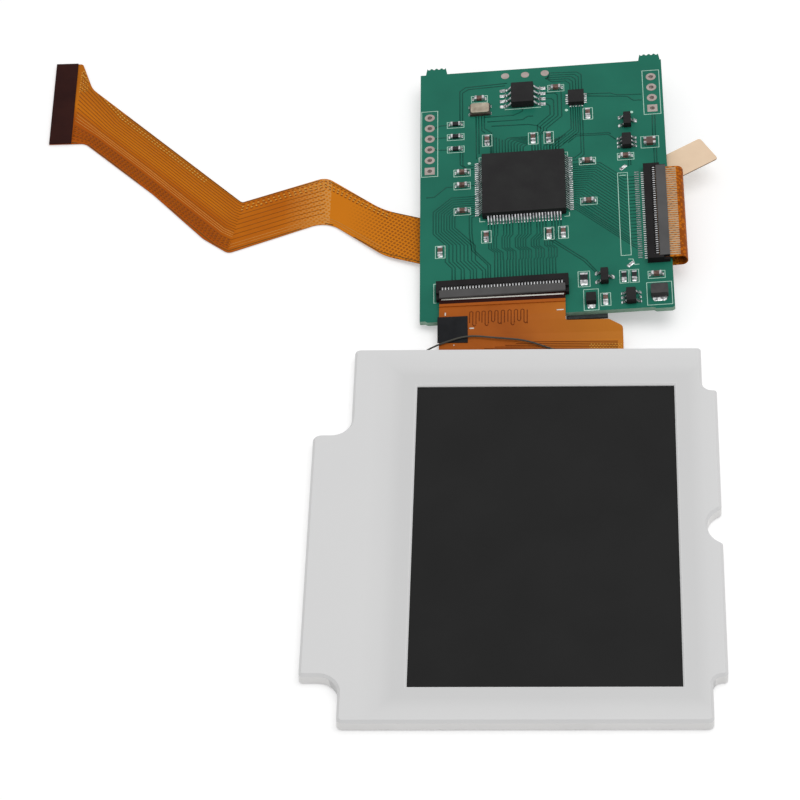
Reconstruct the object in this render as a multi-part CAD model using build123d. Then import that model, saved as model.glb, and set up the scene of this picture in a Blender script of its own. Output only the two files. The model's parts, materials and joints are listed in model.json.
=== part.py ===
from build123d import *
import os
from math import atan2, cos, radians, sin, tan

# A colour display kit for a handheld console: a display module in a milky plastic bracket,
# its flexible tail, a driver board, and the long flexible ribbon to the console's socket.
# Millimetres. Origin: middle of the picture window, on the plane of the bracket's back.
# +X right, +Y towards the driver board, +Z out of the picture.

# Small gaps that keep neighbours apart
glue_gap = 0.01
seat_gap = 0.02
slip = 0.05

# How far a cutting shape runs past what it cuts
beyond = 5.0

# Display module, layers from the back to the front
window_w = 40.8
window_h = 61.2
glass_border = 1.5
ledge_l = 4.0
tray_t = 0.1
reflector_t = 0.06
guide_t = 0.45
film_stack_t = 0.13
polariser_t = 0.12
glass_t = 0.3
frame_wall = 0.9
led_zone = 2.3
led_count = 6
led_l = 3.0
led_d = 1.0
led_pitch = 6.8
led_flex_t = 0.1
driver_l = 18.0
driver_d = 1.0
driver_h = 0.3
driver_gap = 0.45
polariser_inset = 0.3

# Bracket: margins from the window to the outer edges, side ears, notch and flex slot
lip_t = 0.4
near_margin = 6.7
far_margin = 8.3
left_margin = 10.2
right_margin = 4.4
left_ear_w = 5.95
left_ear_low = -28.5
left_ear_high = 20.3
right_ear_w = 2.3
right_ear_low = -28.6
right_ear_high = 29.6
ear_fillet = 3.2
right_ear_fillet = 1.6
outer_corner_r = 0.9
tight_corner_r = 0.6
ear_corner_r = 1.3
notch_r = 3.7
notch_y = 0.9
notch_out = 1.4
notch_lip_r = 0.8
window_bevel = 0.25
front_bevel = 0.4
slot_bridge_t = 0.31
slot_left_margin = 3.8
slot_right_margin = 0.6

# Driver board and how it lies: its near left corner, past the bracket's far edge, then its
# tilts and turn
board_w = 41.35
board_h = 57.28
board_t = 0.8
board_x = -20.42
board_gap = 6.22
board_z = 1.7
board_tilt_x = 2.35
board_tilt_y = -3.51
board_turn = 1.22
tab_w = 3.7
tab_l = 1.5
tab_draft = 0.25
tab_inset = 0.9
right_tab_inset = 0.2
bite_r = 0.28
bite_side_count = 8
bite_pitch = 0.85
bite_count = 4
left_stub_w = 2.5
right_stub_w = 3.4
stub_ramp = 0.4
stub_l = 0.3

# Header holes
header_pitch = 2.54
header_hole_r = 0.5
left_header_count = 6
left_header_x = 1.59
left_header_drop = 23.22
right_header_count = 4
right_header_inset = 1.9
right_header_drop = 11.75

# Fine-pitch connectors
ways = 40
pitch = 0.5
end_wall = 0.5
housing_h = 1.2
housing_d = 3.7
block_d = 1.95
base_h = 0.35
cheek_d = 2.7
low_cheek_h = 0.75
contact_t = 0.2
contact_slot_d = 0.75
spine_rear = 0.05
spine_front = 0.35
arm_t = 0.26
lower_arm_inset = 0.3
foot_t = 0.1
tail_l = 0.45
latch_t = 0.4
latch_bevel = 0.07
pin_r = 0.12
pin_l = 0.3
pin_clear = 0.03
fpc_level = 0.4
fpc_stack_t = 0.3
fpc_tip_depth = 0.75
display_connector_rear = 7.65
ribbon_connector_inset = 0.3

# Display flex, its stiffener, the black tape and the thin jumper wire
flex_t = 0.12
flex_bond = 2.0
flex_flat_out = 1.2
flex_landing = 1.0
flex_wing = 9.15
flex_shoulder = 1.25
flex_chamfer_w = 2.2
flex_chamfer_l = 0.95
flex_corner_r = 0.6
flex_spare = 0.6
flex_notch_r = 0.3
flex_bend_share = 0.45
flex_bend_count = 6
flex_stiffener_l = 4.7
tape_w = 4.65
tape_over = 0.25
tape_t = 0.1
tape_near = -4.75
tape_far = 0.0
wire_d = 0.3
wire_side_count = 6

# Black foam strip under the board's near edge, beside the flex
foam_w = 6.3
foam_l = 2.2
foam_t = 0.4
foam_out = 0.75
foam_clear = 0.35

# Jumper wire's route: X from the flex's left edge, distance past the bracket's far edge, lift
# over its rest on the flex
wire_route = [
    (-3.09, -0.8, 0), (-0.39, 1.15, 0.03), (4.41, 2.95, 0.42), (9.01, 2.4, 0.38), (13.91, 1.95, 0.28),
    (18.71, -0.15, 0.02),
]

# Console ribbon: loop round the board's edge, run below it, ramp down to the floor
ribbon_t = 0.15
finger_t = 0.03
finger_w = 0.3
loop_reach = 1.5
loop_r = 1.0
run_l = 14.7
run_rise = -2.0
finger_seen = 1.4
crease_r = 30.0
plug_turn = 1.6
plug_l = 3.8
plug_stiffener_t = 0.2
plug_finger_l = 3.3
plug_far_neck = (0.8, 0.6)
plug_near_neck = (2.4, 1.8)

# Ribbon on the floor, in plan from the board's near left corner: the crease where its ramp
# starts, the ramp's end, the plug, and the corners and roundings of the zigzag's two edges
crease_out = -16.88
ramp_end_out = 3.42
ramp_end_z = 0.82
ramp_far_up = 23.78
ramp_near_up = 13.08
plug_out = -63.23
plug_up = 55.13
zigzag_far_edge = [(-58.58, 58.88, 5.0), (-30.78, 29.98, 0.4), (-16.78, 35.98, 2.2), (-6.88, 27.48, 12.0)]
zigzag_near_edge = [(-6.18, 16.48, 9.0), (-16.28, 25.28, 4.2), (-32.38, 17.88, 1.2), (-36.78, 21.38, 7.0),
                    (-45.98, 32.18, 12.0)]

# Touch pad glued under the ribbon's lower run
touch_w = 5.8
touch_l = 14.0
touch_t = 0.2
touch_corner_r = 0.5
touch_end_x = 5.6
touch_end_y = 36.4
touch_turn = 28.7

# Moulded chips with formed leads: margins run from the last lead to the body's end
lead_t = 0.12
lead_heel = 0.5
lead_root = 0.1
chip_taper = 8.0
standoff = 0.08
processor_lead_count = 25
processor_pitch = 0.5
processor_margin = 1.0
processor_h = 1.4
processor_reach = 1.0
processor_lead_w = 0.22
memory_lead_count = 4
memory_pitch = 1.27
memory_margin = 0.545
memory_w = 3.9
memory_h = 1.4
memory_reach = 1.15
memory_lead_w = 0.42
small_chip_pitch = 0.95
small_chip_margin = 0.5
small_chip_h = 1.0
small_chip_reach = 0.6
small_chip_lead_w = 0.4
regulator_w = 1.6
transistor_w = 1.3
transistor_1_out = 0.25
transistor_1_up = 5.0

# Leadless chip, crystal, coil, diode and filter
touch_chip_w = 2.7
touch_chip_d = 3.0
touch_chip_h = 0.8
land_count = 5
land_pitch = 0.5
land_w = 0.24
land_h = 0.2
land_proud = 0.05
crystal_l = 3.4
crystal_w = 2.5
crystal_step = 0.15
crystal_base_h = 0.45
crystal_can_h = 0.35
crystal_can_r = 0.4
inductor_l = 2.8
inductor_w = 2.1
inductor_h = 1.2
inductor_corner_r = 0.35
inductor_terminal_l = 2.4
terminal_proud = 0.4
terminal_h = 0.3
diode_w = 1.7
diode_l = 2.0
diode_h = 1.0
diode_reach = 0.35
diode_terminal_w = 0.8
array_l = 2.0
array_w = 1.6
array_h = 0.6
array_terminal_l = 0.45
array_terminal_w = 0.5
filter_out = 3.85
filter_down = 0.2

# Chip capacitors and resistors: length, width, height and length of an end cap
cap_proud = 0.03
capacitor_size = (1.6, 0.8, 0.6, 0.35)
resistor_size = (1.6, 0.8, 0.45, 0.3)
sense_resistor_size = (2.0, 1.25, 0.5, 0.4)

processor_w = (processor_lead_count - 1) * processor_pitch + 2 * processor_margin
memory_d = (memory_lead_count - 1) * memory_pitch + 2 * memory_margin
small_chip_l = 2 * (small_chip_pitch + small_chip_margin)

# Places on the board, from its near left corner, as shares of its width and height
display_connector_x = 0.3279 * board_w
display_capacitor_x = 0.0813 * board_w
processor_x = 0.4206 * board_w
crystal_x = 0.2467 * board_w
memory_x = 0.4232 * board_w
touch_chip_x = 0.6433 * board_w
sense_resistor_x = 0.6493 * board_w
schottky_x = 0.6747 * board_w
transistor_2_x = 0.7308 * board_w
boost_output_x = 0.7316 * board_w
feedback_1_x = 0.8073 * board_w
boost_converter_x = 0.8319 * board_w
level_shifter_x = 0.8428 * board_w
feedback_2_x = 0.8476 * board_w
boost_input_x = 0.9347 * board_w
power_inductor_x = 0.9432 * board_w
boost_near_y = 0.041 * board_h
power_inductor_y = 0.0532 * board_h
boost_far_y = 0.1237 * board_h
display_capacitor_y = 0.2654 * board_h
ribbon_connector_y = 0.3593 * board_h
processor_y = 0.5059 * board_h
level_shifter_y = 0.6582 * board_h
crystal_y = 0.8328 * board_h
touch_chip_y = 0.8563 * board_h
memory_y = 0.8764 * board_h
left_header_y = board_h - left_header_drop
right_header_x = board_w - right_header_inset
right_header_y = board_h - right_header_drop

# Decoupling capacitors round the processor: place along a side, distance past its lead tips
decoupling_far = [(-6.05, 3.44), (1.74, 3.22), (4.36, 3.22)]
decoupling_near = [(-6.39, 2.98), (3.99, 3.13), (6.35, 3.08)]
decoupling_left = [(4.15, 2.34), (1.11, 2.34), (-4.83, 2.34)]
decoupling_right = [(4.98, 2.73), (-4.34, 2.73)]

# Chip capacitors beside a neighbour, from its centre
crystal_shift = 0.1
crystal_lift = 2.8
touch_1_shift = 3.4
touch_1_lift = 2.91
touch_2_shift = 1.9
touch_2_drop = 3.8
shifter_shift = 0.3
shifter_drop = 3.2

# Row of key resistors beside the left header
key_resistor_out = 4.41
key_resistor_up = 4.74
key_resistor_pitch = 2.95
key_resistor_count = 3

processor_span = processor_w / 2 + processor_reach
upright_places = [(processor_x + along, processor_y + processor_span + out) for along, out in decoupling_far]
upright_places += [(processor_x + along, processor_y - processor_span - out) for along, out in decoupling_near]
level_places = [(processor_x - processor_span - out, processor_y + along) for along, out in decoupling_left]
level_places += [(processor_x + processor_span + out, processor_y + along) for along, out in decoupling_right]
feedback_places = [(feedback_1_x, boost_far_y), (feedback_2_x, boost_far_y)]
key_resistor_x = left_header_x + key_resistor_out
key_resistor_y = [left_header_y + key_resistor_up + i * key_resistor_pitch for i in range(key_resistor_count)]

# Single chip capacitors: place, and true where the piece stands upright in plan
capacitor_places = {
    "crystal_capacitor": ((crystal_x - crystal_shift, crystal_y + crystal_lift), False),
    "touch_capacitor_1": ((touch_chip_x - touch_1_shift, touch_chip_y + touch_1_lift), False),
    "touch_capacitor_2": ((touch_chip_x + touch_2_shift, touch_chip_y - touch_2_drop), True),
    "shifter_capacitor": ((level_shifter_x - shifter_shift, level_shifter_y - shifter_drop), False),
    "display_capacitor": ((display_capacitor_x, display_capacitor_y), True),
    "boost_input_capacitor": ((boost_input_x, boost_far_y), False),
    "boost_output_capacitor": ((boost_output_x, boost_near_y), True),
}

# Levels of the display module's layers
guide_z = tray_t + reflector_t
films_z = guide_z + guide_t
rear_polariser_z = films_z + film_stack_t
tft_z = rear_polariser_z + polariser_t
ledge_z = tft_z + glass_t
filter_top = ledge_z + glass_t
module_top = filter_top + polariser_t
lip_z = module_top + seat_gap
bracket_t = lip_z + lip_t

# Plan of the module: half widths and the near and far ends of each layer
glass_half = window_w / 2 + glass_border
glass_near = -window_h / 2 - glass_border
filter_far = window_h / 2 + glass_border
tft_far = filter_far + ledge_l
tray_half = glass_half + slip + tray_t
tray_near = glass_near - slip - tray_t
tray_far = tft_far + slip + tray_t
frame_in_half = glass_half - frame_wall
frame_in_near = glass_near + frame_wall
frame_in_far = tft_far - frame_wall
guide_far = frame_in_far - led_zone

# Bracket outline, and the board and ribbon placed from it
bracket_left = -window_w / 2 - left_margin
bracket_right = window_w / 2 + right_margin
bracket_near = -window_h / 2 - near_margin
bracket_far = window_h / 2 + far_margin
board_y = bracket_far + board_gap
board_pose = Location((board_x, board_y, board_z), (board_tilt_x, board_tilt_y, board_turn))
crease_x = board_x + crease_out
ramp_end_x = board_x + ramp_end_out
ramp_far_y = board_y + ramp_far_up
ramp_near_y = board_y + ramp_near_up
plug_x = board_x + plug_out
plug_y = board_y + plug_up


def slab(x0, x1, y0, y1, z0, z1):
    """Rectangular block between two corners."""
    block = Box(x1 - x0, y1 - y0, z1 - z0)
    return Pos((x0 + x1) / 2, (y0 + y1) / 2, (z0 + z1) / 2) * block


def prism(points, radii, z0, z1):
    """Upright prism over a polygon with a rounding at each corner."""
    outline = FilletPolyline(*points, radius=radii, close=True)
    return Pos(0, 0, z0) * extrude(make_face(outline), amount=z1 - z0, dir=(0, 0, 1))


def side_prism(points, length):
    """Prism over a polygon given as depth and height, centred on its length along X."""
    outline = Polyline(*[(0, v, w) for v, w in points], close=True)
    return Pos(-length / 2, 0, 0) * extrude(make_face(outline), amount=length, dir=(1, 0, 0))


def spread(count, step):
    """Places of a row's members along a line, about its middle."""
    return [(i - (count - 1) / 2) * step for i in range(count)]


def joined(pieces):
    """One shape from touching pieces."""
    whole = pieces[0]
    for piece in pieces[1:]:
        whole = whole + piece
    return whole


# Display module

def metal_tray():
    outer = slab(-tray_half, tray_half, tray_near, tray_far, 0, tft_z - seat_gap)
    inner = slab(-tray_half + tray_t, tray_half - tray_t, tray_near + tray_t, tray_far - tray_t,
                 tray_t, tft_z)
    return outer - inner


def backlight_frame():
    outer = slab(-glass_half, glass_half, glass_near, tft_far, tray_t, tft_z)
    inner = slab(-frame_in_half, frame_in_half, frame_in_near, frame_in_far, 0, module_top)
    return outer - inner


def inner_layer(far, z0, thickness):
    """Sheet that lies inside the backlight frame."""
    return slab(-frame_in_half + slip, frame_in_half - slip, frame_in_near + slip, far - slip,
                z0, z0 + thickness)


def backlight_leds():
    near = guide_far + slip
    return Compound(children=[
        slab(x - led_l / 2, x + led_l / 2, near, near + led_d, guide_z, films_z)
        for x in spread(led_count, led_pitch)])


def led_flex():
    half = (led_count - 1) / 2 * led_pitch + led_l / 2
    return slab(-half, half, guide_far, frame_in_far - slip, films_z, films_z + led_flex_t)


def front_polariser():
    half = glass_half - polariser_inset
    return slab(-half, half, glass_near + polariser_inset, filter_far - polariser_inset, filter_top,
                module_top)


def display_driver_chip():
    near = filter_far + driver_gap
    return slab(-driver_l / 2, driver_l / 2, near, near + driver_d, ledge_z, ledge_z + driver_h)


# Bracket

def bracket_outline():
    """Outline points with the rounding of each corner, counter-clockwise from the near left."""
    ear_left = bracket_left - left_ear_w
    ear_right = bracket_right + right_ear_w
    corners = [
        (bracket_left, bracket_near, outer_corner_r),
        (bracket_right, bracket_near, outer_corner_r),
        (bracket_right, right_ear_low, right_ear_fillet),
        (ear_right, right_ear_low, tight_corner_r),
        (ear_right, right_ear_high, tight_corner_r),
        (bracket_right, right_ear_high, right_ear_fillet),
        (bracket_right, bracket_far, tight_corner_r),
        (bracket_left, bracket_far, outer_corner_r),
        (bracket_left, left_ear_high, ear_fillet),
        (ear_left, left_ear_high, ear_corner_r),
        (ear_left, left_ear_low, tight_corner_r),
        (bracket_left, left_ear_low, ear_fillet),
    ]
    return [(x, y) for x, y, r in corners], [r for x, y, r in corners]


def bracket():
    points, radii = bracket_outline()
    face = make_face(FilletPolyline(*points, radius=radii, close=True))
    ear_right = bracket_right + right_ear_w
    notch = Pos(ear_right + notch_out, notch_y) * Circle(notch_r)
    face = face - notch
    mouth = [v for v in face.vertices() if abs(v.X - ear_right) < glue_gap and abs(v.Y - notch_y) < notch_r]
    face = fillet(mouth, notch_lip_r)
    body = extrude(face, amount=bracket_t)
    body = chamfer(body.faces().sort_by(Axis.Z)[-1].edges(), front_bevel)
    pocket = slab(-tray_half - slip, tray_half + slip, tray_near - slip, tray_far + slip, -beyond, lip_z)
    opening = extrude(Rectangle(window_w, window_h), amount=2 * bracket_t)
    bevel = Pos(0, 0, bracket_t - window_bevel) * extrude(
        Rectangle(window_w, window_h), amount=2 * window_bevel, taper=-45)
    slot = slab(slot_left, slot_right, filter_far, bracket_far + beyond, -beyond, bracket_t - slot_bridge_t)
    return body - pocket - opening - bevel - slot


# Driver board: these solids are modelled in the board's own frame, whose origin is the near
# left corner of its top face, and then laid in place

def snapped_tab(left):
    """Outline of one far tab, right to left."""
    right = left + tab_w
    return [(right, board_h), (right - tab_draft, board_h + tab_l), (left + tab_draft, board_h + tab_l),
            (left, board_h)]


def broken_stub(left, right):
    """Outline of one rough stub on the near edge, left to right."""
    return [(left, 0), (left + stub_ramp, -stub_l), (right - stub_ramp, -stub_l), (right, 0)]


def tab_bites(left):
    """Half holes along a tab's end, where the board was snapped out of its panel."""
    middle = left + tab_w / 2
    bite = Pos(0, 0, -2 * board_t) * extrude(RegularPolygon(bite_r, bite_side_count), amount=4 * board_t)
    return [Pos(middle + x, board_h + tab_l, 0) * bite for x in spread(bite_count, bite_pitch)]


def header_holes():
    places = [(left_header_x, left_header_y + i * header_pitch) for i in range(left_header_count)]
    places += [(right_header_x, right_header_y + i * header_pitch) for i in range(right_header_count)]
    return [Pos(x, y, -board_t / 2) * Cylinder(header_hole_r, 2 * board_t) for x, y in places]


def driver_board():
    right_tab = board_w - right_tab_inset - tab_w
    outline = [(0, 0)]
    outline += broken_stub(tab_inset, tab_inset + left_stub_w)
    outline += broken_stub(board_w - right_stub_w, board_w)
    outline += [(board_w, board_h)] + snapped_tab(right_tab) + snapped_tab(tab_inset) + [(0, board_h)]
    board = Pos(0, 0, -board_t) * extrude(make_face(Polyline(*outline, close=True)), amount=board_t,
                                          dir=(0, 0, 1))
    return board - header_holes() - tab_bites(right_tab) - tab_bites(tab_inset)


# Chips

def moulded_body(w, d, h, seat):
    """Moulded chip body, drafted both ways from the parting line where its leads leave."""
    upper = extrude(Rectangle(w, d), amount=h / 2, taper=chip_taper)
    lower = extrude(Rectangle(w, d), amount=-h / 2, taper=chip_taper)
    return Pos(0, 0, seat + h / 2) * (upper + lower)


def lead_row(body_half, height, reach, width, count, step, root):
    """Formed leads along one side: out of the body, down and along the board, towards +Y."""
    top = standoff + height / 2 + lead_t / 2
    start = body_half - root
    heel = body_half + lead_heel * reach
    tip = body_half + reach
    lead = side_prism([
        (start, top), (heel + lead_t, lead_t), (tip, lead_t), (tip, 0), (heel, 0), (start, top - lead_t),
    ], width)
    return [Pos(x, 0, 0) * lead for x in spread(count, step)]


def processor_body():
    return Pos(processor_x, processor_y, 0) * moulded_body(processor_w, processor_w, processor_h, standoff)


def processor_lead_set():
    row = lead_row(processor_w / 2, processor_h, processor_reach, processor_lead_w, processor_lead_count,
                   processor_pitch, 0)
    sides = [Rot(0, 0, 90 * side) * lead for side in range(4) for lead in row]
    return Compound(children=[Pos(processor_x, processor_y, 0) * lead for lead in sides])


def memory_chip():
    return Pos(memory_x, memory_y, 0) * moulded_body(memory_w, memory_d, memory_h, standoff)


def memory_chip_leads():
    row = lead_row(memory_w / 2, memory_h, memory_reach, memory_lead_w, memory_lead_count, memory_pitch, 0)
    sides = [Rot(0, 0, turn) * lead for turn in (90, -90) for lead in row]
    return Compound(children=[Pos(memory_x, memory_y, 0) * lead for lead in sides])


def small_chip(width, left_leads, right_leads, x, y):
    """Small leaded package in one solid; a side with two leads leaves its middle place empty."""
    pieces = [moulded_body(width, small_chip_l, small_chip_h, standoff)]
    for turn, count in ((90, left_leads), (-90, right_leads)):
        step = 2 * small_chip_pitch if count == 2 else small_chip_pitch
        row = lead_row(width / 2, small_chip_h, small_chip_reach, small_chip_lead_w, count, step, lead_root)
        pieces += [Rot(0, 0, turn) * lead for lead in row]
    return Pos(x, y, 0) * joined(pieces)


def touch_chip():
    """Flat leadless package whose soldered lands just show along two sides."""
    body = slab(-touch_chip_w / 2, touch_chip_w / 2, -touch_chip_d / 2, touch_chip_d / 2, 0, touch_chip_h)
    out = touch_chip_w / 2 + land_proud
    lands = [slab(-out, out, y - land_w / 2, y + land_w / 2, 0, land_h)
             for y in spread(land_count, land_pitch)]
    return Pos(touch_chip_x, touch_chip_y, 0) * joined([body] + lands)


def crystal():
    """Quartz crystal: a metal can seated on a slightly larger ceramic base."""
    base = extrude(Rectangle(crystal_l, crystal_w), amount=crystal_base_h)
    can = Pos(0, 0, crystal_base_h) * extrude(
        RectangleRounded(crystal_l - 2 * crystal_step, crystal_w - 2 * crystal_step, crystal_can_r),
        amount=crystal_can_h)
    return Pos(crystal_x, crystal_y, 0) * (base + can)


def power_inductor():
    """Shielded coil: a block with rounded corners between two wrapped terminals."""
    core = extrude(RectangleRounded(inductor_l, inductor_w, inductor_corner_r), amount=inductor_h)
    half = inductor_w / 2 + terminal_proud
    ends = slab(-inductor_terminal_l / 2, inductor_terminal_l / 2, -half, half, 0, terminal_h)
    return Pos(power_inductor_x, power_inductor_y, 0) * (core + ends)


def schottky_diode():
    body = moulded_body(diode_w, diode_l, diode_h, 0)
    half = diode_l / 2 + diode_reach
    ends = slab(-diode_terminal_w / 2, diode_terminal_w / 2, -half, half, 0, terminal_h)
    return Pos(schottky_x, boost_near_y, 0) * (body + ends)


def chip_part(length, width, height, cap_l, turned, place):
    """Chip capacitor or resistor: a body between two end caps that stand slightly proud."""
    body = slab(cap_l - length / 2, length / 2 - cap_l, cap_proud - width / 2, width / 2 - cap_proud,
                cap_proud, height - cap_proud)
    cap = slab(length / 2 - cap_l, length / 2, -width / 2, width / 2, 0, height)
    whole = joined([body, cap, Rot(0, 0, 180) * cap])
    return Pos(*place, 0) * Rot(0, 0, 90 if turned else 0) * whole


def filter_array():
    """Four-terminal filter: a flat ceramic body between four corner terminals."""
    x = array_l / 2
    y = array_w / 2
    body = slab(cap_proud - x, x - cap_proud, cap_proud - y, y - cap_proud, cap_proud, array_h - cap_proud)
    corner = slab(x - array_terminal_l, x, y - array_terminal_w, y, 0, array_h)
    pair = corner + mirror(corner, Plane.YZ)
    place = Pos(level_shifter_x + filter_out, level_shifter_y - filter_down, 0)
    return place * joined([body, pair, mirror(pair, Plane.XZ)])


# Fine-pitch connector, in its own frame: X along the row, Y from its rear to the side where
# the film enters, Z up from the board

fpc_half = (ways + 1) * pitch / 2
cheek_in = fpc_half + seat_gap + slip
housing_half = cheek_in + end_wall
latch_half = cheek_in - slip
hinge_y = block_d + slip + latch_t / 2
hinge_z = housing_h - latch_t / 2
arm_z = fpc_level + fpc_stack_t + 2 * seat_gap
arm_top = arm_z + arm_t
lower_arm_top = fpc_level - 2 * seat_gap


def connector_housing():
    """Black housing: combed roof over the contacts, base under the film and a cheek at each end."""
    roof = slab(-housing_half, housing_half, 0, block_d, arm_top + seat_gap, housing_h)
    base_rear = block_d - lower_arm_inset + seat_gap
    base = slab(-housing_half, housing_half, base_rear, housing_d, 0, base_h)
    cheek = slab(cheek_in, housing_half, 0, cheek_d, 0, housing_h)
    low_cheek = slab(cheek_in, housing_half, 0, housing_d, 0, low_cheek_h)
    cheeks = cheek + low_cheek
    body = joined([roof, base, cheeks, mirror(cheeks, Plane.YZ)])
    pin_half = latch_half + pin_l + slip
    pin_way = Pos(0, hinge_y, hinge_z) * Rot(0, 90, 0) * Cylinder(pin_r + pin_clear, 2 * pin_half)
    half_slot = contact_t / 2 + seat_gap
    slots = [slab(x - half_slot, x + half_slot, block_d - contact_slot_d, beyond, base_h + slip, beyond)
             for x in spread(ways, pitch)]
    return body - pin_way - slots


def connector_contacts():
    """Forked contacts: solder tail, spine, lower arm under the film and upper arm over it."""
    lower_arm_end = block_d - lower_arm_inset
    upper_arm_end = block_d - slip
    contact = side_prism([
        (-tail_l, 0), (lower_arm_end, 0), (lower_arm_end, lower_arm_top), (spine_front, lower_arm_top),
        (spine_front, arm_z), (upper_arm_end, arm_z), (upper_arm_end, arm_top), (spine_rear, arm_top),
        (spine_rear, foot_t), (-tail_l, foot_t),
    ], contact_t)
    return [Pos(x, 0, 0) * contact for x in spread(ways, pitch)]


def connector_latch():
    """Flip latch: a bar with a round nose on its axis and a pin at each end."""
    front = housing_d - hinge_y
    section = Rectangle(front, latch_t, align=(Align.MIN, Align.CENTER)) + Circle(latch_t / 2)
    section = chamfer(section.vertices().sort_by(Axis.X)[-2:], latch_bevel)
    bar = extrude(Plane.YZ * section, amount=latch_half, both=True)
    pins = Rot(0, 90, 0) * Cylinder(pin_r, 2 * (latch_half + pin_l))
    return Pos(0, hinge_y, hinge_z) * (bar + pins)


display_connector_pose = Location((display_connector_x, display_connector_rear, 0), (0, 0, 180))
ribbon_connector_rear = board_w - ribbon_connector_inset - housing_d
ribbon_connector_pose = Location((ribbon_connector_rear, ribbon_connector_y, 0), (0, 0, -90))

# Display flex: a thin film that leaves the glass ledge level, bends up over the board's near
# edge in a few straight steps and lies in the display connector. Each side section is drawn
# in a plane of constant board X, so the surface between two sections follows both the bracket
# and the tilted board.

flex_left = display_connector_x - fpc_half
flex_right = display_connector_x + fpc_half
flex_wing_x = flex_right + flex_wing
flex_tip_y = display_connector_rear - fpc_tip_depth
flex_pivot_y = display_connector_rear - (fpc_tip_depth + housing_d) / 2
flex_end_y = tft_far - flex_bond
flex_mid = fpc_level + flex_t / 2
flex_floor_z = ledge_z + glue_gap + flex_t / 2
board_plane = Plane(board_pose)
slot_left = board_x + flex_left - slot_left_margin
slot_right = board_x + flex_wing_x + slot_right_margin


def board_side_point(x, y_world, z_world):
    """Board-frame y and z of the point with this board x that has this place in the part."""
    ex = board_plane.x_dir
    ey = board_plane.y_dir
    ez = board_plane.z_dir
    a = y_world - board_y - x * ex.Y
    b = z_world - board_z - x * ex.Z
    det = ey.Y * ez.Z - ez.Y * ey.Z
    return Vector(0, (a * ez.Z - b * ez.Y) / det, (b * ey.Y - a * ey.Z) / det)


def flex_section(x, low, high):
    """Side section of a layer between two offsets from the flex's middle surface."""
    end = board_side_point(x, flex_end_y, flex_floor_z)
    lift_off = board_side_point(x, bracket_far + flex_flat_out, flex_floor_z)
    landing = Vector(0, flex_landing, flex_mid)
    tip = Vector(0, flex_tip_y + flex_spare, flex_mid)
    level = (lift_off - end).normalized()
    level_up = Vector(0, -level.Z, level.Y)
    along = Vector(0, 1, 0)
    up = Vector(0, 0, 1)
    reach = flex_bend_share * (flex_landing - lift_off.Y)
    place = Vector(x, 0, 0)

    def point(base, normal, offset):
        return place + base + normal * offset

    def side(offset):
        a = point(lift_off, level_up, offset)
        b = point(landing, up, offset)
        bend = Bezier(a, a + level * reach, b - along * reach, b)
        steps = [bend @ (i / flex_bend_count) for i in range(flex_bend_count + 1)]
        return [point(end, level_up, offset)] + steps + [point(tip, up, offset)]

    return Face(Wire.make_polygon(side(low) + side(high)[::-1]))


def flex_layer(x0, x1, low, high):
    sections = [flex_section(x0 - flex_spare, low, high), flex_section(x1 + flex_spare, low, high)]
    return loft(sections, ruled=True)


def square_to_display(shape):
    """Turns a shape in the connector's mouth until it runs square to the display, not to the board."""
    pivot = Pos(display_connector_x, flex_pivot_y, 0)
    return pivot * Rot(0, 0, -board_turn) * pivot.inverse() * shape


def display_flex():
    """Wide under the bracket, with a chamfered shoulder where it narrows to its connector."""
    near = flex_end_y - board_y - beyond
    plan = [
        (flex_left, near), (flex_wing_x, near), (flex_wing_x, -flex_shoulder - flex_chamfer_l),
        (flex_wing_x - flex_chamfer_w, -flex_shoulder), (flex_right, -flex_shoulder),
        (flex_right, flex_tip_y), (flex_left, flex_tip_y),
    ]
    outline = prism(plan, [0, 0, flex_corner_r, flex_corner_r, flex_notch_r, 0, 0], -beyond, beyond)
    return flex_layer(flex_left, flex_wing_x, -flex_t / 2, flex_t / 2) & square_to_display(outline)


def display_flex_stiffener():
    low = flex_mid + flex_t / 2 + glue_gap
    return square_to_display(slab(flex_left, flex_right, flex_tip_y - flex_stiffener_l, flex_tip_y,
                                  low, fpc_level + fpc_stack_t))


def flex_tape():
    low = flex_t / 2 + glue_gap
    layer = flex_layer(flex_left, flex_left + tape_w, low, low + tape_t)
    return layer & square_to_display(slab(flex_left - tape_over, flex_left + tape_w, tape_near, tape_far,
                                          -beyond, beyond))


def edge_foam():
    """Black foam strip stuck under the board's near edge, where it stands out beside the flex."""
    left = flex_right + foam_clear
    top = -board_t - glue_gap
    return slab(left, left + foam_w, -foam_out, foam_l - foam_out, top - foam_t, top)


def jumper_wire():
    """Thin insulated wire that bows out from under the bracket's far edge over the flex."""
    rest = flex_floor_z + flex_t / 2 + wire_d / 2 + 2 * seat_gap
    left = board_x + flex_left
    route = [(left + x, bracket_far + out, rest + lift) for x, out, lift in wire_route]
    runs = [Vector(*b) - Vector(*a) for a, b in zip(route, route[1:])]
    radii = []
    for a, b in zip(runs, runs[1:]):
        half_turn = radians(a.get_angle(b)) / 2
        radii.append(0.45 * min(a.length, b.length) / tan(half_turn))
    print("jumper wire bend radii", [round(r, 1) for r in radii])
    path = FilletPolyline(*route, radius=radii)
    section = Plane(origin=path @ 0, z_dir=path % 0) * RegularPolygon(wire_d / 2, wire_side_count)
    return sweep(section, path=path)


# Console ribbon: it enters its connector face up, loops round the board's right edge, runs
# back below the board, ramps down to the floor and zigzags out to the plug

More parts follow.
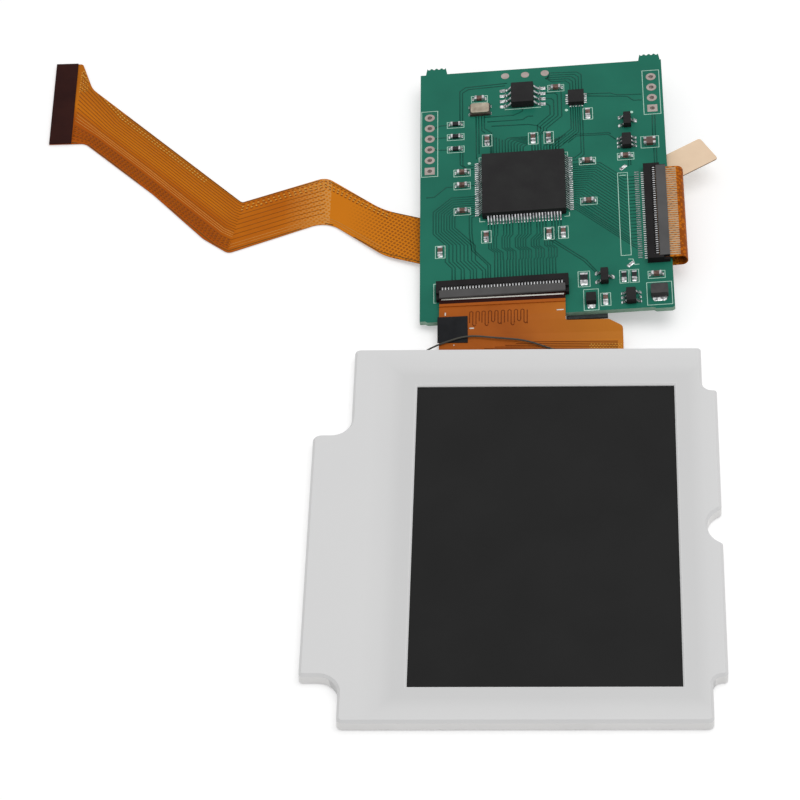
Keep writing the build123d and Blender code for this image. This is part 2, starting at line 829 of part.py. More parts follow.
ribbon_low_y = ribbon_connector_y - fpc_half
ribbon_high_y = ribbon_connector_y + fpc_half
ribbon_top = fpc_level + fpc_stack_t - finger_t
ribbon_mid = ribbon_top - ribbon_t / 2
ribbon_tip_x = ribbon_connector_rear + fpc_tip_depth
loop_x = board_w + loop_reach
loop_z = ribbon_mid - loop_r
run_pose = Location(
    (loop_x - loop_r * sin(radians(run_rise)), 0, loop_z - loop_r * cos(radians(run_rise))),
    (0, run_rise, 0))
run_end = (board_pose * run_pose * Pos(-run_l, ribbon_connector_y, 0)).position
ramp_angle = atan2(ramp_end_z - finger_t, ramp_end_x - crease_x)
ramp_top_z = ramp_end_z + ribbon_t / cos(ramp_angle)
plug_pose = Location((plug_x, plug_y, 0), (0, 0, plug_turn))


def on_plug(x, y):
    """Plan point given in the plug's own frame."""
    p = (plug_pose * Pos(x, y, 0)).position
    return p.X, p.Y


def zigzag_outline():
    """Flat outline from the plug along the far edge to the ramp's end and back to the plug."""
    half = plug_l / 2
    far_out, far_r = plug_far_neck
    near_out, near_r = plug_near_neck
    corners = [(*on_plug(-half, fpc_half), 0), (*on_plug(half + far_out, fpc_half), far_r)]
    corners += [(board_x + x, board_y + y, r) for x, y, r in zigzag_far_edge]
    corners += [(ramp_end_x, ramp_far_y, 0), (ramp_end_x, ramp_near_y, 0)]
    corners += [(board_x + x, board_y + y, r) for x, y, r in zigzag_near_edge]
    corners += [(*on_plug(half + near_out, -fpc_half), near_r), (*on_plug(-half, -fpc_half), 0)]
    return [(x, y) for x, y, r in corners], [r for x, y, r in corners]


def ribbon_zigzag():
    """Film flat on the floor as far as the crease, then ramping up towards the board."""
    low = finger_t
    high = finger_t + ribbon_t
    start = plug_x - plug_l
    profile = FilletPolyline(
        (start, 0, low), (crease_x, 0, low), (ramp_end_x, 0, ramp_end_z),
        (ramp_end_x, 0, ramp_top_z), (crease_x, 0, high), (start, 0, high),
        radius=[0, crease_r + ribbon_t, 0, 0, crease_r, 0], close=True)
    sheet = extrude(make_face(profile), amount=plug_y + 2 * fpc_half, dir=(0, 1, 0))
    points, radii = zigzag_outline()
    return sheet & prism(points, radii, -beyond, beyond)


def ribbon_spread():
    """Stretch below the board where the film widens from the ramp's width to its full width."""
    half_t = ribbon_t / 2
    run_corners = [(ribbon_low_y, -half_t), (ribbon_high_y, -half_t), (ribbon_high_y, half_t),
                   (ribbon_low_y, half_t)]
    run_face = [(board_pose * run_pose * Pos(-run_l, y, z)).position for y, z in run_corners]
    ramp_face = [(ramp_end_x, ramp_near_y, ramp_end_z), (ramp_end_x, ramp_far_y, ramp_end_z),
                 (ramp_end_x, ramp_far_y, ramp_top_z), (ramp_end_x, ramp_near_y, ramp_top_z)]
    return loft([Face(Wire.make_polygon(run_face)), Face(Wire.make_polygon(ramp_face))], ruled=True)


def ribbon_loop():
    """Upper run in the connector, the bend round the board's edge and the run below it."""
    half_t = ribbon_t / 2
    upper = slab(ribbon_tip_x, loop_x, ribbon_low_y, ribbon_high_y, ribbon_mid - half_t, ribbon_top)
    section = Plane(origin=(loop_x, ribbon_connector_y, ribbon_mid), x_dir=(0, 1, 0), z_dir=(1, 0, 0))
    bend = revolve(section * Rectangle(2 * fpc_half, ribbon_t),
                   axis=Axis((loop_x, 0, loop_z), (0, 1, 0)), revolution_arc=180 + run_rise)
    lower = run_pose * slab(-run_l, 0, ribbon_low_y, ribbon_high_y, -half_t, half_t)
    return board_pose * joined([upper, bend, lower])


def console_ribbon():
    return joined([ribbon_loop(), ribbon_spread(), ribbon_zigzag()])


def ribbon_tail_fingers():
    """Gold fingers on the film's end, in the connector and bare as far as the cover film."""
    reach = board_w + finger_seen
    fingers = []
    for offset in spread(ways, pitch):
        y = ribbon_connector_y + offset
        fingers.append(slab(ribbon_tip_x, reach, y - finger_w / 2, y + finger_w / 2,
                            ribbon_top, ribbon_top + finger_t))
    return Compound(children=fingers)


def ribbon_tail_stiffener():
    top = ribbon_mid - ribbon_t / 2 - glue_gap
    return slab(ribbon_tip_x, board_w, ribbon_low_y, ribbon_high_y, fpc_level, top)


def ribbon_plug_stiffener():
    low = finger_t + ribbon_t
    half = plug_l / 2
    return plug_pose * slab(-half, half, -fpc_half, fpc_half, low, low + plug_stiffener_t)


def ribbon_plug_fingers():
    left = -plug_l / 2
    fingers = [slab(left, left + plug_finger_l, y - finger_w / 2, y + finger_w / 2, 0, finger_t)
               for y in spread(ways, pitch)]
    return Compound(children=[plug_pose * finger for finger in fingers])


def touch_pad():
    """Gold plate with rounded corners, glued to the underside of the ribbon's lower run."""
    plate = extrude(RectangleRounded(touch_l, touch_w, touch_corner_r, align=(Align.MAX, Align.CENTER)),
                    amount=-touch_t)
    top = -ribbon_t / 2 - glue_gap
    return board_pose * run_pose * Pos(touch_end_x, touch_end_y, top) * Rot(0, 0, touch_turn) * plate


# All the pieces

parts = {
    "bracket": bracket(),
    "metal_tray": metal_tray(),
    "backlight_frame": backlight_frame(),
    "reflector_film": inner_layer(frame_in_far, tray_t, reflector_t),
    "light_guide": inner_layer(guide_far, guide_z, guide_t),
    "diffuser_films": inner_layer(guide_far, films_z, film_stack_t),
    "backlight_leds": backlight_leds(),
    "led_flex": led_flex(),
    "rear_polariser": inner_layer(filter_far - frame_wall, rear_polariser_z, polariser_t),
    "tft_glass": slab(-glass_half, glass_half, glass_near, tft_far, tft_z, ledge_z),
    "colour_filter_glass": slab(-glass_half, glass_half, glass_near, filter_far, ledge_z, filter_top),
    "front_polariser": front_polariser(),
    "display_driver_chip": display_driver_chip(),
    "jumper_wire": jumper_wire(),
    "console_ribbon": console_ribbon(),
    "ribbon_plug_stiffener": ribbon_plug_stiffener(),
    "ribbon_plug_fingers": ribbon_plug_fingers(),
    "touch_pad": touch_pad(),
}

on_board = {
    "display_flex": display_flex(),
    "display_flex_stiffener": display_flex_stiffener(),
    "flex_tape": flex_tape(),
    "edge_foam": edge_foam(),
    "driver_board": driver_board(),
    "processor_body": processor_body(),
    "processor_leads": processor_lead_set(),
    "memory_chip": memory_chip(),
    "memory_chip_leads": memory_chip_leads(),
    "touch_chip": touch_chip(),
    "crystal": crystal(),
    "boost_converter": small_chip(regulator_w, 3, 2, boost_converter_x, boost_near_y),
    "level_shifter": small_chip(regulator_w, 3, 3, level_shifter_x, level_shifter_y),
    "transistor_1": small_chip(transistor_w, 2, 1, level_shifter_x + transistor_1_out,
                               level_shifter_y + transistor_1_up),
    "transistor_2": small_chip(transistor_w, 2, 1, transistor_2_x, boost_far_y),
    "schottky_diode": schottky_diode(),
    "power_inductor": power_inductor(),
    "filter_array": filter_array(),
    "decoupling_capacitors": Compound(children=[
        chip_part(*capacitor_size, turned, place)
        for places, turned in [(upright_places, True), (level_places, False)] for place in places]),
    "sense_resistor": chip_part(*sense_resistor_size, True, (sense_resistor_x, boost_far_y)),
    "feedback_resistors": Compound(children=[
        chip_part(*resistor_size, True, place) for place in feedback_places]),
    "ribbon_tail_fingers": ribbon_tail_fingers(),
    "ribbon_tail_stiffener": ribbon_tail_stiffener(),
}
for name, (place, turned) in capacitor_places.items():
    on_board[name] = chip_part(*capacitor_size, turned, place)
for i, y in enumerate(key_resistor_y):
    on_board["key_resistor_" + str(i + 1)] = chip_part(*resistor_size, False, (key_resistor_x, y))

housing = connector_housing()
contacts = connector_contacts()
latch = connector_latch()
for name, pose in [("display_connector", display_connector_pose), ("ribbon_connector", ribbon_connector_pose)]:
    on_board[name + "_housing"] = pose * housing
    on_board[name + "_contacts"] = Compound(children=[pose * contact for contact in contacts])
    on_board[name + "_latch"] = pose * latch

for name, shape in on_board.items():
    parts[name] = board_pose * shape

os.makedirs("parts", exist_ok=True)
for name, shape in parts.items():
    export_step(shape, "parts/" + name + ".step")
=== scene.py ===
import json
from math import ceil, cos, hypot, pi, radians, sin

import bpy
from mathutils import Matrix, Vector


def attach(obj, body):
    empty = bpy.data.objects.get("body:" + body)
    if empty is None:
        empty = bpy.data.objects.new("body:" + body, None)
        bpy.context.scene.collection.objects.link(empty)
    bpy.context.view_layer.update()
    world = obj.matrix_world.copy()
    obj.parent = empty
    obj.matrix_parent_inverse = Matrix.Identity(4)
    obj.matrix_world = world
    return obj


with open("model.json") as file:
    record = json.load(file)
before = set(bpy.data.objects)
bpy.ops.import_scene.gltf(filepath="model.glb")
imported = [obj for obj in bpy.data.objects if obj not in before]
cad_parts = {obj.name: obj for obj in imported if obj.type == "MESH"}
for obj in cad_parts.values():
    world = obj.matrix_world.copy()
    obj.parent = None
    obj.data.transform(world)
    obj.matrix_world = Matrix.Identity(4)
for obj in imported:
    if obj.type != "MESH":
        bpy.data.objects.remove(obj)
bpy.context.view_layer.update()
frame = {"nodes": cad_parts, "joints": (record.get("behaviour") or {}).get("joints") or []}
bpy.ops.object.select_all(action="DESELECT")

# Display cell and backlight: a folded steel tray holds white reflector film, an acrylic light
# guide fed by a row of lamps, diffuser sheets and two glued glasses. Only the front film shows.


def paint(red, green, blue):
    """Shader colour of a paint-card colour given from 0 to 255."""
    shares = [part / 255 for part in (red, green, blue)]
    return [s / 12.92 if s <= 0.04045 else ((s + 0.055) / 1.055) ** 2.4 for s in shares] + [1.0]


def finish(name, shade, other_shade, patch, roughness, metallic=0.0, grain=0.0003, depth=0.000003,
           shine=0.5):
    """A finish that wanders between two shades over patches of this size, with a fine grain."""
    look = bpy.data.materials.new(name)
    look.use_nodes = True
    tree = look.node_tree
    shader = tree.nodes["Principled BSDF"]
    shader.inputs["Metallic"].default_value = metallic
    shader.inputs["Specular IOR Level"].default_value = shine
    place = tree.nodes.new("ShaderNodeTexCoord")
    cloud = tree.nodes.new("ShaderNodeTexNoise")
    cloud.inputs["Scale"].default_value = 1 / patch
    cloud.inputs["Detail"].default_value = 3
    tint = tree.nodes.new("ShaderNodeValToRGB")
    tint.name = "tint"
    tint.color_ramp.elements[0].position = 0.35
    tint.color_ramp.elements[0].color = paint(*shade)
    tint.color_ramp.elements[1].position = 0.65
    tint.color_ramp.elements[1].color = paint(*other_shade)
    speckle = tree.nodes.new("ShaderNodeTexNoise")
    speckle.inputs["Scale"].default_value = 1 / grain
    gloss = tree.nodes.new("ShaderNodeMapRange")
    gloss_wander = 0.07
    gloss.inputs["To Min"].default_value = roughness - gloss_wander
    gloss.inputs["To Max"].default_value = roughness + gloss_wander
    bump = tree.nodes.new("ShaderNodeBump")
    bump.inputs["Strength"].default_value = 0.2
    bump.inputs["Distance"].default_value = depth
    tree.links.new(place.outputs["Object"], cloud.inputs["Vector"])
    tree.links.new(place.outputs["Object"], speckle.inputs["Vector"])
    tree.links.new(cloud.outputs["Fac"], tint.inputs["Fac"])
    tree.links.new(tint.outputs["Color"], shader.inputs["Base Color"])
    tree.links.new(speckle.outputs["Fac"], gloss.inputs["Value"])
    tree.links.new(gloss.outputs["Result"], shader.inputs["Roughness"])
    tree.links.new(speckle.outputs["Fac"], bump.inputs["Height"])
    tree.links.new(bump.outputs["Normal"], shader.inputs["Normal"])
    return look


def dress(name, *looks):
    """Gives a CAD node its finishes; the first one covers every face."""
    slots = frame["nodes"][name].data.materials
    slots.clear()
    for look in looks:
        slots.append(look)


rolled_steel = finish("rolled_steel", (172, 174, 176), (168, 170, 173), 0.02, 0.32, metallic=1.0)
dress("metal_tray", rolled_steel)
dress("backlight_frame", finish("moulded_white", (232, 232, 228), (222, 222, 218), 0.01, 0.45))
dress("reflector_film", finish("reflector_white", (245, 245, 245), (238, 238, 240), 0.02, 0.25))
dress("diffuser_films", finish("diffuser_haze", (226, 230, 232), (216, 220, 224), 0.015, 0.5))
dress("backlight_leds", finish("lamp_phosphor", (236, 220, 120), (242, 236, 205), 0.0008, 0.35))
dress("rear_polariser", finish("rear_film", (58, 58, 62), (48, 48, 52), 0.02, 0.3))
dress("display_driver_chip", finish("bare_silicon", (92, 90, 96), (74, 72, 80), 0.002, 0.15, metallic=0.6))

acrylic = finish("light_guide_acrylic", (235, 240, 242), (228, 234, 238), 0.02, 0.12)
acrylic.node_tree.nodes["Principled BSDF"].inputs["Transmission Weight"].default_value = 0.6
dress("light_guide", acrylic)
cell_glass = finish("cell_glass", (196, 206, 204), (184, 196, 196), 0.02, 0.1)
cell_glass.node_tree.nodes["Principled BSDF"].inputs["Transmission Weight"].default_value = 0.5
dress("tft_glass", cell_glass)
dress("colour_filter_glass", cell_glass)

screen_film = finish("screen_film", (30, 30, 30), (33, 33, 33), 0.012, 0.36, grain=0.00012, shine=0.08)
dress("front_polariser", screen_film)

# Bracket: translucent milky plastic, moulded in one piece. The cell's border shows through it as a soft
# darker band round the window, edged by a thin painted highlight, and its upright outer faces are painted
# paler as a highlight.
window_half = (0.0204, 0.0306)
milky = finish("milky_plastic", (216, 216, 216), (212, 212, 213), 0.02, 0.42, grain=0.0006)
milky_tree = milky.node_tree


def axes(tree):
    """Sockets X, Y and Z of a material's place on its piece."""
    place = tree.nodes.new("ShaderNodeTexCoord")
    parts = tree.nodes.new("ShaderNodeSeparateXYZ")
    tree.links.new(place.outputs["Object"], parts.inputs["Vector"])
    return parts.outputs


def worked_out(tree, operation, first, second=None):
    """Socket of a sum worked out in a material, from sockets or plain numbers."""
    node = tree.nodes.new("ShaderNodeMath")
    node.operation = operation
    for index, value in enumerate((first, second)):
        if isinstance(value, (int, float)):
            node.inputs[index].default_value = value
        elif value is not None:
            tree.links.new(value, node.inputs[index])
    return node.outputs[0]


def mixed(tree, share, first, second):
    """Socket of two colours mixed by a share; a colour may be a socket or a paint-card colour."""
    node = tree.nodes.new("ShaderNodeMix")
    node.data_type = "RGBA"
    sockets = (node.inputs["Factor"], node.inputs[6], node.inputs[7])
    for socket, value in zip(sockets, (share, first, second)):
        if isinstance(value, bpy.types.NodeSocket):
            tree.links.new(value, socket)
        elif isinstance(value, tuple):
            socket.default_value = paint(*value)
        else:
            socket.default_value = value
    return node.outputs[2]


def soft_step(tree, value, first, last):
    """Share that grows from 0 to 1 while a value goes from the first place to the last."""
    step = tree.nodes.new("ShaderNodeMapRange")
    step.inputs["From Min"].default_value = first
    step.inputs["From Max"].default_value = last
    tree.links.new(value, step.inputs["Value"])
    return step.outputs["Result"]


def coloured(look, colour):
    """Gives a finish a colour worked out in its own tree."""
    tree = look.node_tree
    tree.links.new(colour, tree.nodes["Principled BSDF"].inputs["Base Color"])


milky_axes = axes(milky_tree)
beyond_sides, beyond_ends = [
    worked_out(milky_tree, "SUBTRACT", worked_out(milky_tree, "ABSOLUTE", milky_axes[axis]), half)
    for axis, half in zip("XY", window_half)]
from_window = worked_out(milky_tree, "MAXIMUM", beyond_sides, beyond_ends)
band = milky_tree.nodes.new("ShaderNodeValToRGB")
# The first two stops paint a thin highlight at the window's edge; the darker stops after them are the cell's
# border showing through the plastic.
band_stops = [(0.0, (222, 222, 222)), (0.0002, (226, 226, 226)), (0.0004, (204, 204, 204)),
              (0.0022, (205, 205, 205)), (0.0042, (214, 214, 214)), (0.007, (218, 218, 218))]
band_reach = band_stops[-1][0]
band.color_ramp.elements[0].color = paint(*band_stops[0][1])
band.color_ramp.elements[1].color = paint(*band_stops[-1][1])
for distance, shade in band_stops[1:-1]:
    band.color_ramp.elements.new(distance / band_reach).color = paint(*shade)
milky_tree.links.new(worked_out(milky_tree, "DIVIDE", from_window, band_reach), band.inputs["Fac"])
milky_cloud = milky_tree.nodes["tint"].outputs["Color"]
cloud_share = 0.25
coloured(milky, mixed(milky_tree, cloud_share, band.outputs["Color"], milky_cloud))
# Painted highlight: the upright outer faces get a paler copy of the same plastic.
milky_side_highlight = finish("milky_side_highlight", (248, 247, 246), (244, 243, 242), 0.01, 0.42)
dress("bracket", milky, milky_side_highlight)
upright_below = 0.2
window_lip = 0.0015
for face in frame["nodes"]["bracket"].data.polygons:
    to_window = min(abs(abs(face.center.x) - window_half[0]), abs(abs(face.center.y) - window_half[1]))
    face.material_index = 1 if abs(face.normal.z) < upright_below and to_window > window_lip else 0

# Display flex: copper on brown film, in a dark stiffener where the connector grips it, with black
# tape over its left edge, a foam strip under the board beside it and one thin insulated wire.
brown_film = finish("brown_film", (170, 90, 30), (158, 82, 26), 0.006, 0.4, shine=0.06)
brown_tree = brown_film.node_tree
brown_until = -0.006
golden_from = 0.011
# Painted highlight: the film is painted lighter and more golden towards its right.
highlight_to_right = soft_step(brown_tree, axes(brown_tree)["X"], brown_until, golden_from)
brown_cloud = brown_tree.nodes["tint"].outputs["Color"]
coloured(brown_film, mixed(brown_tree, highlight_to_right, brown_cloud, (190, 116, 38)))
dress("display_flex", brown_film)
dark_stiffener = finish("dark_stiffener", (50, 22, 18), (42, 17, 15), 0.004, 0.4, shine=0.04)
covered_stiffener = dark_stiffener.copy()
covered_stiffener.name = "covered_stiffener"
cover_edge = 0.04812
cover_tree = covered_stiffener.node_tree
under_cover = worked_out(cover_tree, "LESS_THAN", axes(cover_tree)["Y"], cover_edge)
cover_cloud = cover_tree.nodes["tint"].outputs["Color"]
coloured(covered_stiffener, mixed(cover_tree, under_cover, cover_cloud, (168, 88, 30)))
dress("display_flex_stiffener", covered_stiffener)
dress("flex_tape", finish("black_tape", (34, 35, 37), (28, 29, 31), 0.002, 0.6, grain=0.00015,
                          depth=0.00001, shine=0.06))
black_foam = finish("black_foam", (46, 50, 50), (34, 38, 38), 0.0008, 0.85, grain=0.0001, depth=0.00003)
dress("edge_foam", black_foam)
dress("jumper_wire", finish("wire_cover", (52, 50, 38), (36, 35, 28), 0.003, 0.35))
dress("led_flex", brown_film)

# The board lies tilted on the ribbon. What it carries is drawn in its own millimetres, from its
# near left corner, and the two latch hinges tell where that is.
millimetre = 0.001
latch_hinge, ribbon_hinge = frame["joints"]
board_across = -Vector(latch_hinge["axis"])
board_along = -Vector(ribbon_hinge["axis"])
board_up = board_across.cross(board_along)
hinge_in_board = (13.5587, 5.45, 1.0)
board_corner = Vector(latch_hinge["pos_m"]) - millimetre * (
    hinge_in_board[0] * board_across + hinge_in_board[1] * board_along + hinge_in_board[2] * board_up)
board_place = Matrix.Translation(board_corner) @ Matrix(
    (board_across, board_along, board_up)).transposed().to_4x4() @ Matrix.Scale(millimetre, 4)
plan_place = Matrix.Scale(millimetre, 4)


def keep(piece, name, look, body="kit"):
    """Names a finished piece, gives it its finish and lets it ride on its body."""
    piece.name = name
    piece.data.materials.clear()
    piece.data.materials.append(look)
    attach(piece, body)
    bpy.ops.object.select_all(action="DESELECT")


def linked(name, data):
    """New piece in the scene, made of this data."""
    piece = bpy.data.objects.new(name, data)
    bpy.context.scene.collection.objects.link(piece)
    return piece


def take(piece):
    """Makes a piece the active one, and the only one that is selected."""
    bpy.ops.object.select_all(action="DESELECT")
    bpy.context.view_layer.objects.active = piece
    piece.select_set(True)


def edit_all():
    """Opens the active piece for editing, with all of it selected."""
    bpy.ops.object.mode_set(mode="EDIT")
    bpy.ops.mesh.select_all(action="SELECT")


def settle(piece, place):
    """Puts a piece made in millimetres where it belongs, with its place in its mesh."""
    take(piece)
    piece.matrix_world = place @ piece.matrix_world
    bpy.ops.object.transform_apply(location=True, rotation=True, scale=True)


def on_board(piece, name, look):
    """Settles a piece made in the board's own millimetres and keeps it."""
    settle(piece, board_place)
    keep(piece, name, look)


def drawn(runs, section, closed=False):
    """Strips with one cross-section along flat or rising runs of points, as one mesh piece."""
    profile = bpy.data.curves.new("section", "CURVE")
    outline = profile.splines.new("POLY")
    outline.points.add(len(section) - 1)
    outline.use_cyclic_u = len(section) > 2
    for point, (across, rise) in zip(outline.points, section):
        point.co = (across, rise, 0, 1)
    profile_piece = linked("section", profile)
    path = bpy.data.curves.new("runs", "CURVE")
    path.dimensions = "3D"
    path.twist_mode = "Z_UP"
    for run in runs:
        line = path.splines.new("POLY")
        line.points.add(len(run) - 1)
        line.use_cyclic_u = closed
        for point, place in zip(line.points, run):
            point.co = (place[0], place[1], place[2] if len(place) > 2 else 0, 1)
    path.bevel_mode = "OBJECT"
    path.bevel_object = profile_piece
    path.use_fill_caps = len(section) > 2 and not closed
    take(linked("runs", path))
    bpy.ops.object.convert(target="MESH")
    piece = bpy.context.object
    bpy.data.objects.remove(profile_piece)
    edit_all()
    if len(section) > 2:
        bpy.ops.mesh.remove_doubles(threshold=0.0001)
        bpy.ops.mesh.normals_make_consistent(inside=False)
    bpy.ops.object.mode_set(mode="OBJECT")
    return piece


def laid(runs, width, node):
    """Thin printed strips, drawn in plan millimetres and laid down on a film from above."""
    above = 0.02
    missed_within = 0.005
    film_gap = 0.000009
    film_print = 0.000008
    half = width / 2
    raised = [[(x, y, above / millimetre) for x, y in run] for run in runs]
    piece = drawn(raised, [(-half, 0), (half, 0)])
    settle(piece, plan_place)
    wrap = piece.modifiers.new("lay", "SHRINKWRAP")
    wrap.target = frame["nodes"][node]
    wrap.wrap_method = "PROJECT"
    wrap.use_project_z = True
    wrap.use_positive_direction = False
    wrap.use_negative_direction = True
    wrap.offset = film_gap
    bpy.ops.object.modifier_apply(modifier="lay")
    bpy.ops.object.mode_set(mode="EDIT")
    bpy.ops.mesh.select_mode(type="VERT")
    bpy.ops.mesh.select_all(action="DESELECT")
    bpy.ops.object.mode_set(mode="OBJECT")
    for vertex in piece.data.vertices:
        vertex.select = vertex.co.z > above - missed_within
    bpy.ops.object.mode_set(mode="EDIT")
    bpy.ops.mesh.delete(type="VERT")
    bpy.ops.object.mode_set(mode="OBJECT")
    thickness = piece.modifiers.new("print", "SOLIDIFY")
    thickness.thickness = film_print
    thickness.offset = 1
    bpy.ops.object.modifier_apply(modifier="print")
    return piece


def spaced(points, step):
    """The same run with a point at least every step along it."""
    run = [points[0]]
    for start, end in zip(points, points[1:]):
        across, along = end[0] - start[0], end[1] - start[1]
        count = max(1, ceil(hypot(across, along) / step))
        run += [(start[0] + across * i / count, start[1] + along * i / count) for i in range(1, count + 1)]
    return run


meander = []
meander_top = 46.15
meander_step = 0.52
for group_left, group_count in ((-12.3, 4), (-10.3, 8), (-6.1, 7)):
    for i in range(group_count):
        x = group_left + meander_step * i
        length = 2.0 + 0.35 * sin(1.3 * i)
        meander.append(spaced([(x, meander_top), (x, meander_top - length)], 0.3))
        if i + 1 < group_count:
            level = meander_top if i % 2 == 0 else meander_top - length
            bow = 0.2 if i % 2 == 0 else -0.2
            meander.append([(x, level), (x + meander_step / 2, level + bow), (x + meander_step, level)])
etched_lines = finish("etched_lines", (118, 56, 18), (108, 50, 16), 0.003, 0.4, shine=0.06)
keep(laid(meander, 0.15, "display_flex"), "flex_meander", etched_lines)
feeder_lines = []
for i in range(6):
    y = 39.0 + 0.36 * i
    feeder_lines.append(spaced([(1.7 * i - 11.6, y), (11.6, y)], 1.0))
keep(laid(feeder_lines, 0.14, "display_flex"), "flex_feeder_lines", etched_lines)
flex_marks = [[(-16.26, 46.35), (-16.26, 45.71)], [(-12.32, 43.27), (-11.57, 43.27)],
              [(1.76, 45.85), (2.92, 45.85)], [(-14.9, 40.2), (-14.7, 40.2)]]
legend_white = finish("legend_white", (226, 224, 216), (214, 212, 204), 0.003, 0.5)
keep(laid(flex_marks, 0.2, "display_flex"), "flex_marks", legend_white)
gold_dots = []
for row in range(4):
    for column in range(11):
        x = 7.0 + 0.48 * column + 0.24 * (row % 2)
        y = 39.15 + 0.36 * row
        gold_dots.append([(x, y), (x + 0.2, y)])
gilt = finish("gilt_dots", (228, 172, 70), (212, 152, 56), 0.003, 0.35, shine=0.15)
keep(laid(gold_dots, 0.2, "display_flex"), "flex_gold_dots", gilt)
stiffener_line = [spaced([(-16.95, 49.08), (2.95, 49.08)], 1.5)]
keep(laid(stiffener_line, 0.28, "display_flex_stiffener"), "stiffener_line", legend_white)

# Driver board: laminate under green solder mask, with etched tracks that show darker through
# it, a printed legend of frames and dots, plated header holes and bare test pads.
solder_mask = finish("solder_mask", (34, 113, 93), (30, 104, 86), 0.012, 0.35, grain=0.0005,
                     depth=0.000001, shine=0.08)
cut_laminate = finish("cut_laminate", (138, 172, 152), (116, 150, 130), 0.002, 0.6)


def cut_from_sheet(name, face_look, edge_look):
    """Gives a plate one finish on its two faces and another on its cut edges."""
    dress(name, face_look, edge_look)
    for face in frame["nodes"][name].data.polygons:
        face.material_index = 0 if abs(face.normal.dot(board_up)) > 0.5 else 1


cut_from_sheet("driver_board", solder_mask, cut_laminate)
track_shade = finish("masked_track", (24, 86, 72), (20, 78, 65), 0.008, 0.35, shine=0.08)
track_w = 0.2
track_h = 0.02
header_pitch = 2.54
processor_centre = (17.39, 28.98)
processor_reach = 8.0
lead_pitch = 0.5
memory_pitch = 1.27
connector_first_x = 3.809
connector_rear_y = 8.1
lower_bend_y = 12.9
near_step_y = 15.3
near_bend_y = 12.6
far_lead_y = 37.1
right_pads_x = 35.9
touch_lead_y = 47.3


def lead_offset(index):
    """Distance of one of a side's 25 leads from the middle of the side."""
    return (index - 12) * lead_pitch


tracks = []
left_lead_x = processor_centre[0] - processor_reach
for i in range(9):
    start_y = processor_centre[1] + lead_offset(9 - i)
    turn_x = 5.2 + 0.13 * i
    column_x = 2.2 + 0.45 * i
    lower_x = 4.2 + 0.62 * i
    contact_x = connector_first_x + lead_pitch * (3 + round(11 * i / 8))
    bend_y = 19.4 + 0.15 * i
    lower_y = bend_y - 1.3 * (lower_x - column_x)
    tracks.append([(left_lead_x, start_y), (turn_x, start_y), (column_x, start_y - (turn_x - column_x)),
                   (column_x, bend_y), (lower_x, lower_y), (lower_x, lower_bend_y),
                   (contact_x, lower_bend_y - 1.4 * (contact_x - lower_x)), (contact_x, connector_rear_y)])
for i in range(2):
    x = 8.2 + 0.42 * i
    tracks.append([(left_lead_x, 23.5 - lead_pitch * i), (x, 23.1 - lead_pitch * i), (x, 18.9),
                   (x + 0.35, 15.2), (x + 3.0, 11.6), (x + 3.0, connector_rear_y)])
near_leads = [i for i in range(25) if i not in (4, 9, 15, 20)]
for order, i in enumerate(near_leads):
    share = order / (len(near_leads) - 1)
    lead_x = processor_centre[0] + lead_offset(i)
    first_x = lead_x - 1.5 * share
    contact_x = connector_first_x + lead_pitch * (17 + order)
    second_x = (first_x + contact_x) / 2 + 0.5
    top_y = 18.4 - 0.03 * order
    tracks.append([(lead_x, processor_centre[1] - processor_reach), (lead_x, top_y),
                   (first_x, top_y - (lead_x - first_x) - 0.2), (first_x, near_step_y),
                   (second_x, near_step_y - (second_x - first_x)), (second_x, near_bend_y),
                   (contact_x, near_bend_y - abs(second_x - contact_x)), (contact_x, connector_rear_y)])
right_lead_x = processor_centre[0] + processor_reach
for i in range(22):
    start_y = processor_centre[1] + lead_offset(21 - i)
    turn_x = max(25.9, 30.2 - 0.24 * i)
    end_y = 29.6 - 0.78 * i
    tracks.append([(right_lead_x, start_y), (turn_x, start_y), (turn_x + (start_y - end_y), end_y),
                   (right_pads_x, end_y)])
for i in range(5):
    x = 25.6 + 0.5 * i
    y = 52.9 + 0.5 * i
    tracks.append([(x, 50.7), (x, y), (x - 0.7, y + 0.7), (22.6 - 0.1 * i, y + 0.7 + 0.05 * i),
                   (21.4 + 0.1 * i, 54.6)])
for i in range(4):
    y = 48.3 + memory_pitch * i
    x = 22.1 + 0.66 * i
    middle_x = x - 2.2 - 0.15 * i
    lead_x = 18.9 + lead_pitch * i
    tracks.append([(20.8, y), (x - 0.5, y), (x, y - 0.5), (x, 45.7 - 0.2 * i), (middle_x, 43.3 - 0.3 * i),
                   (middle_x, 41.9), (lead_x, 40.4 + 0.2 * i), (lead_x, far_lead_y)])
    bundle_x = 25.6 + 0.4 * i
    bundle_y = 41.9 - 0.3 * i
    end_x = 21.9 + lead_pitch * i
    tracks.append([(bundle_x, touch_lead_y), (bundle_x, bundle_y), (end_x, bundle_y - (bundle_x - end_x)),
                   (end_x, far_lead_y)])
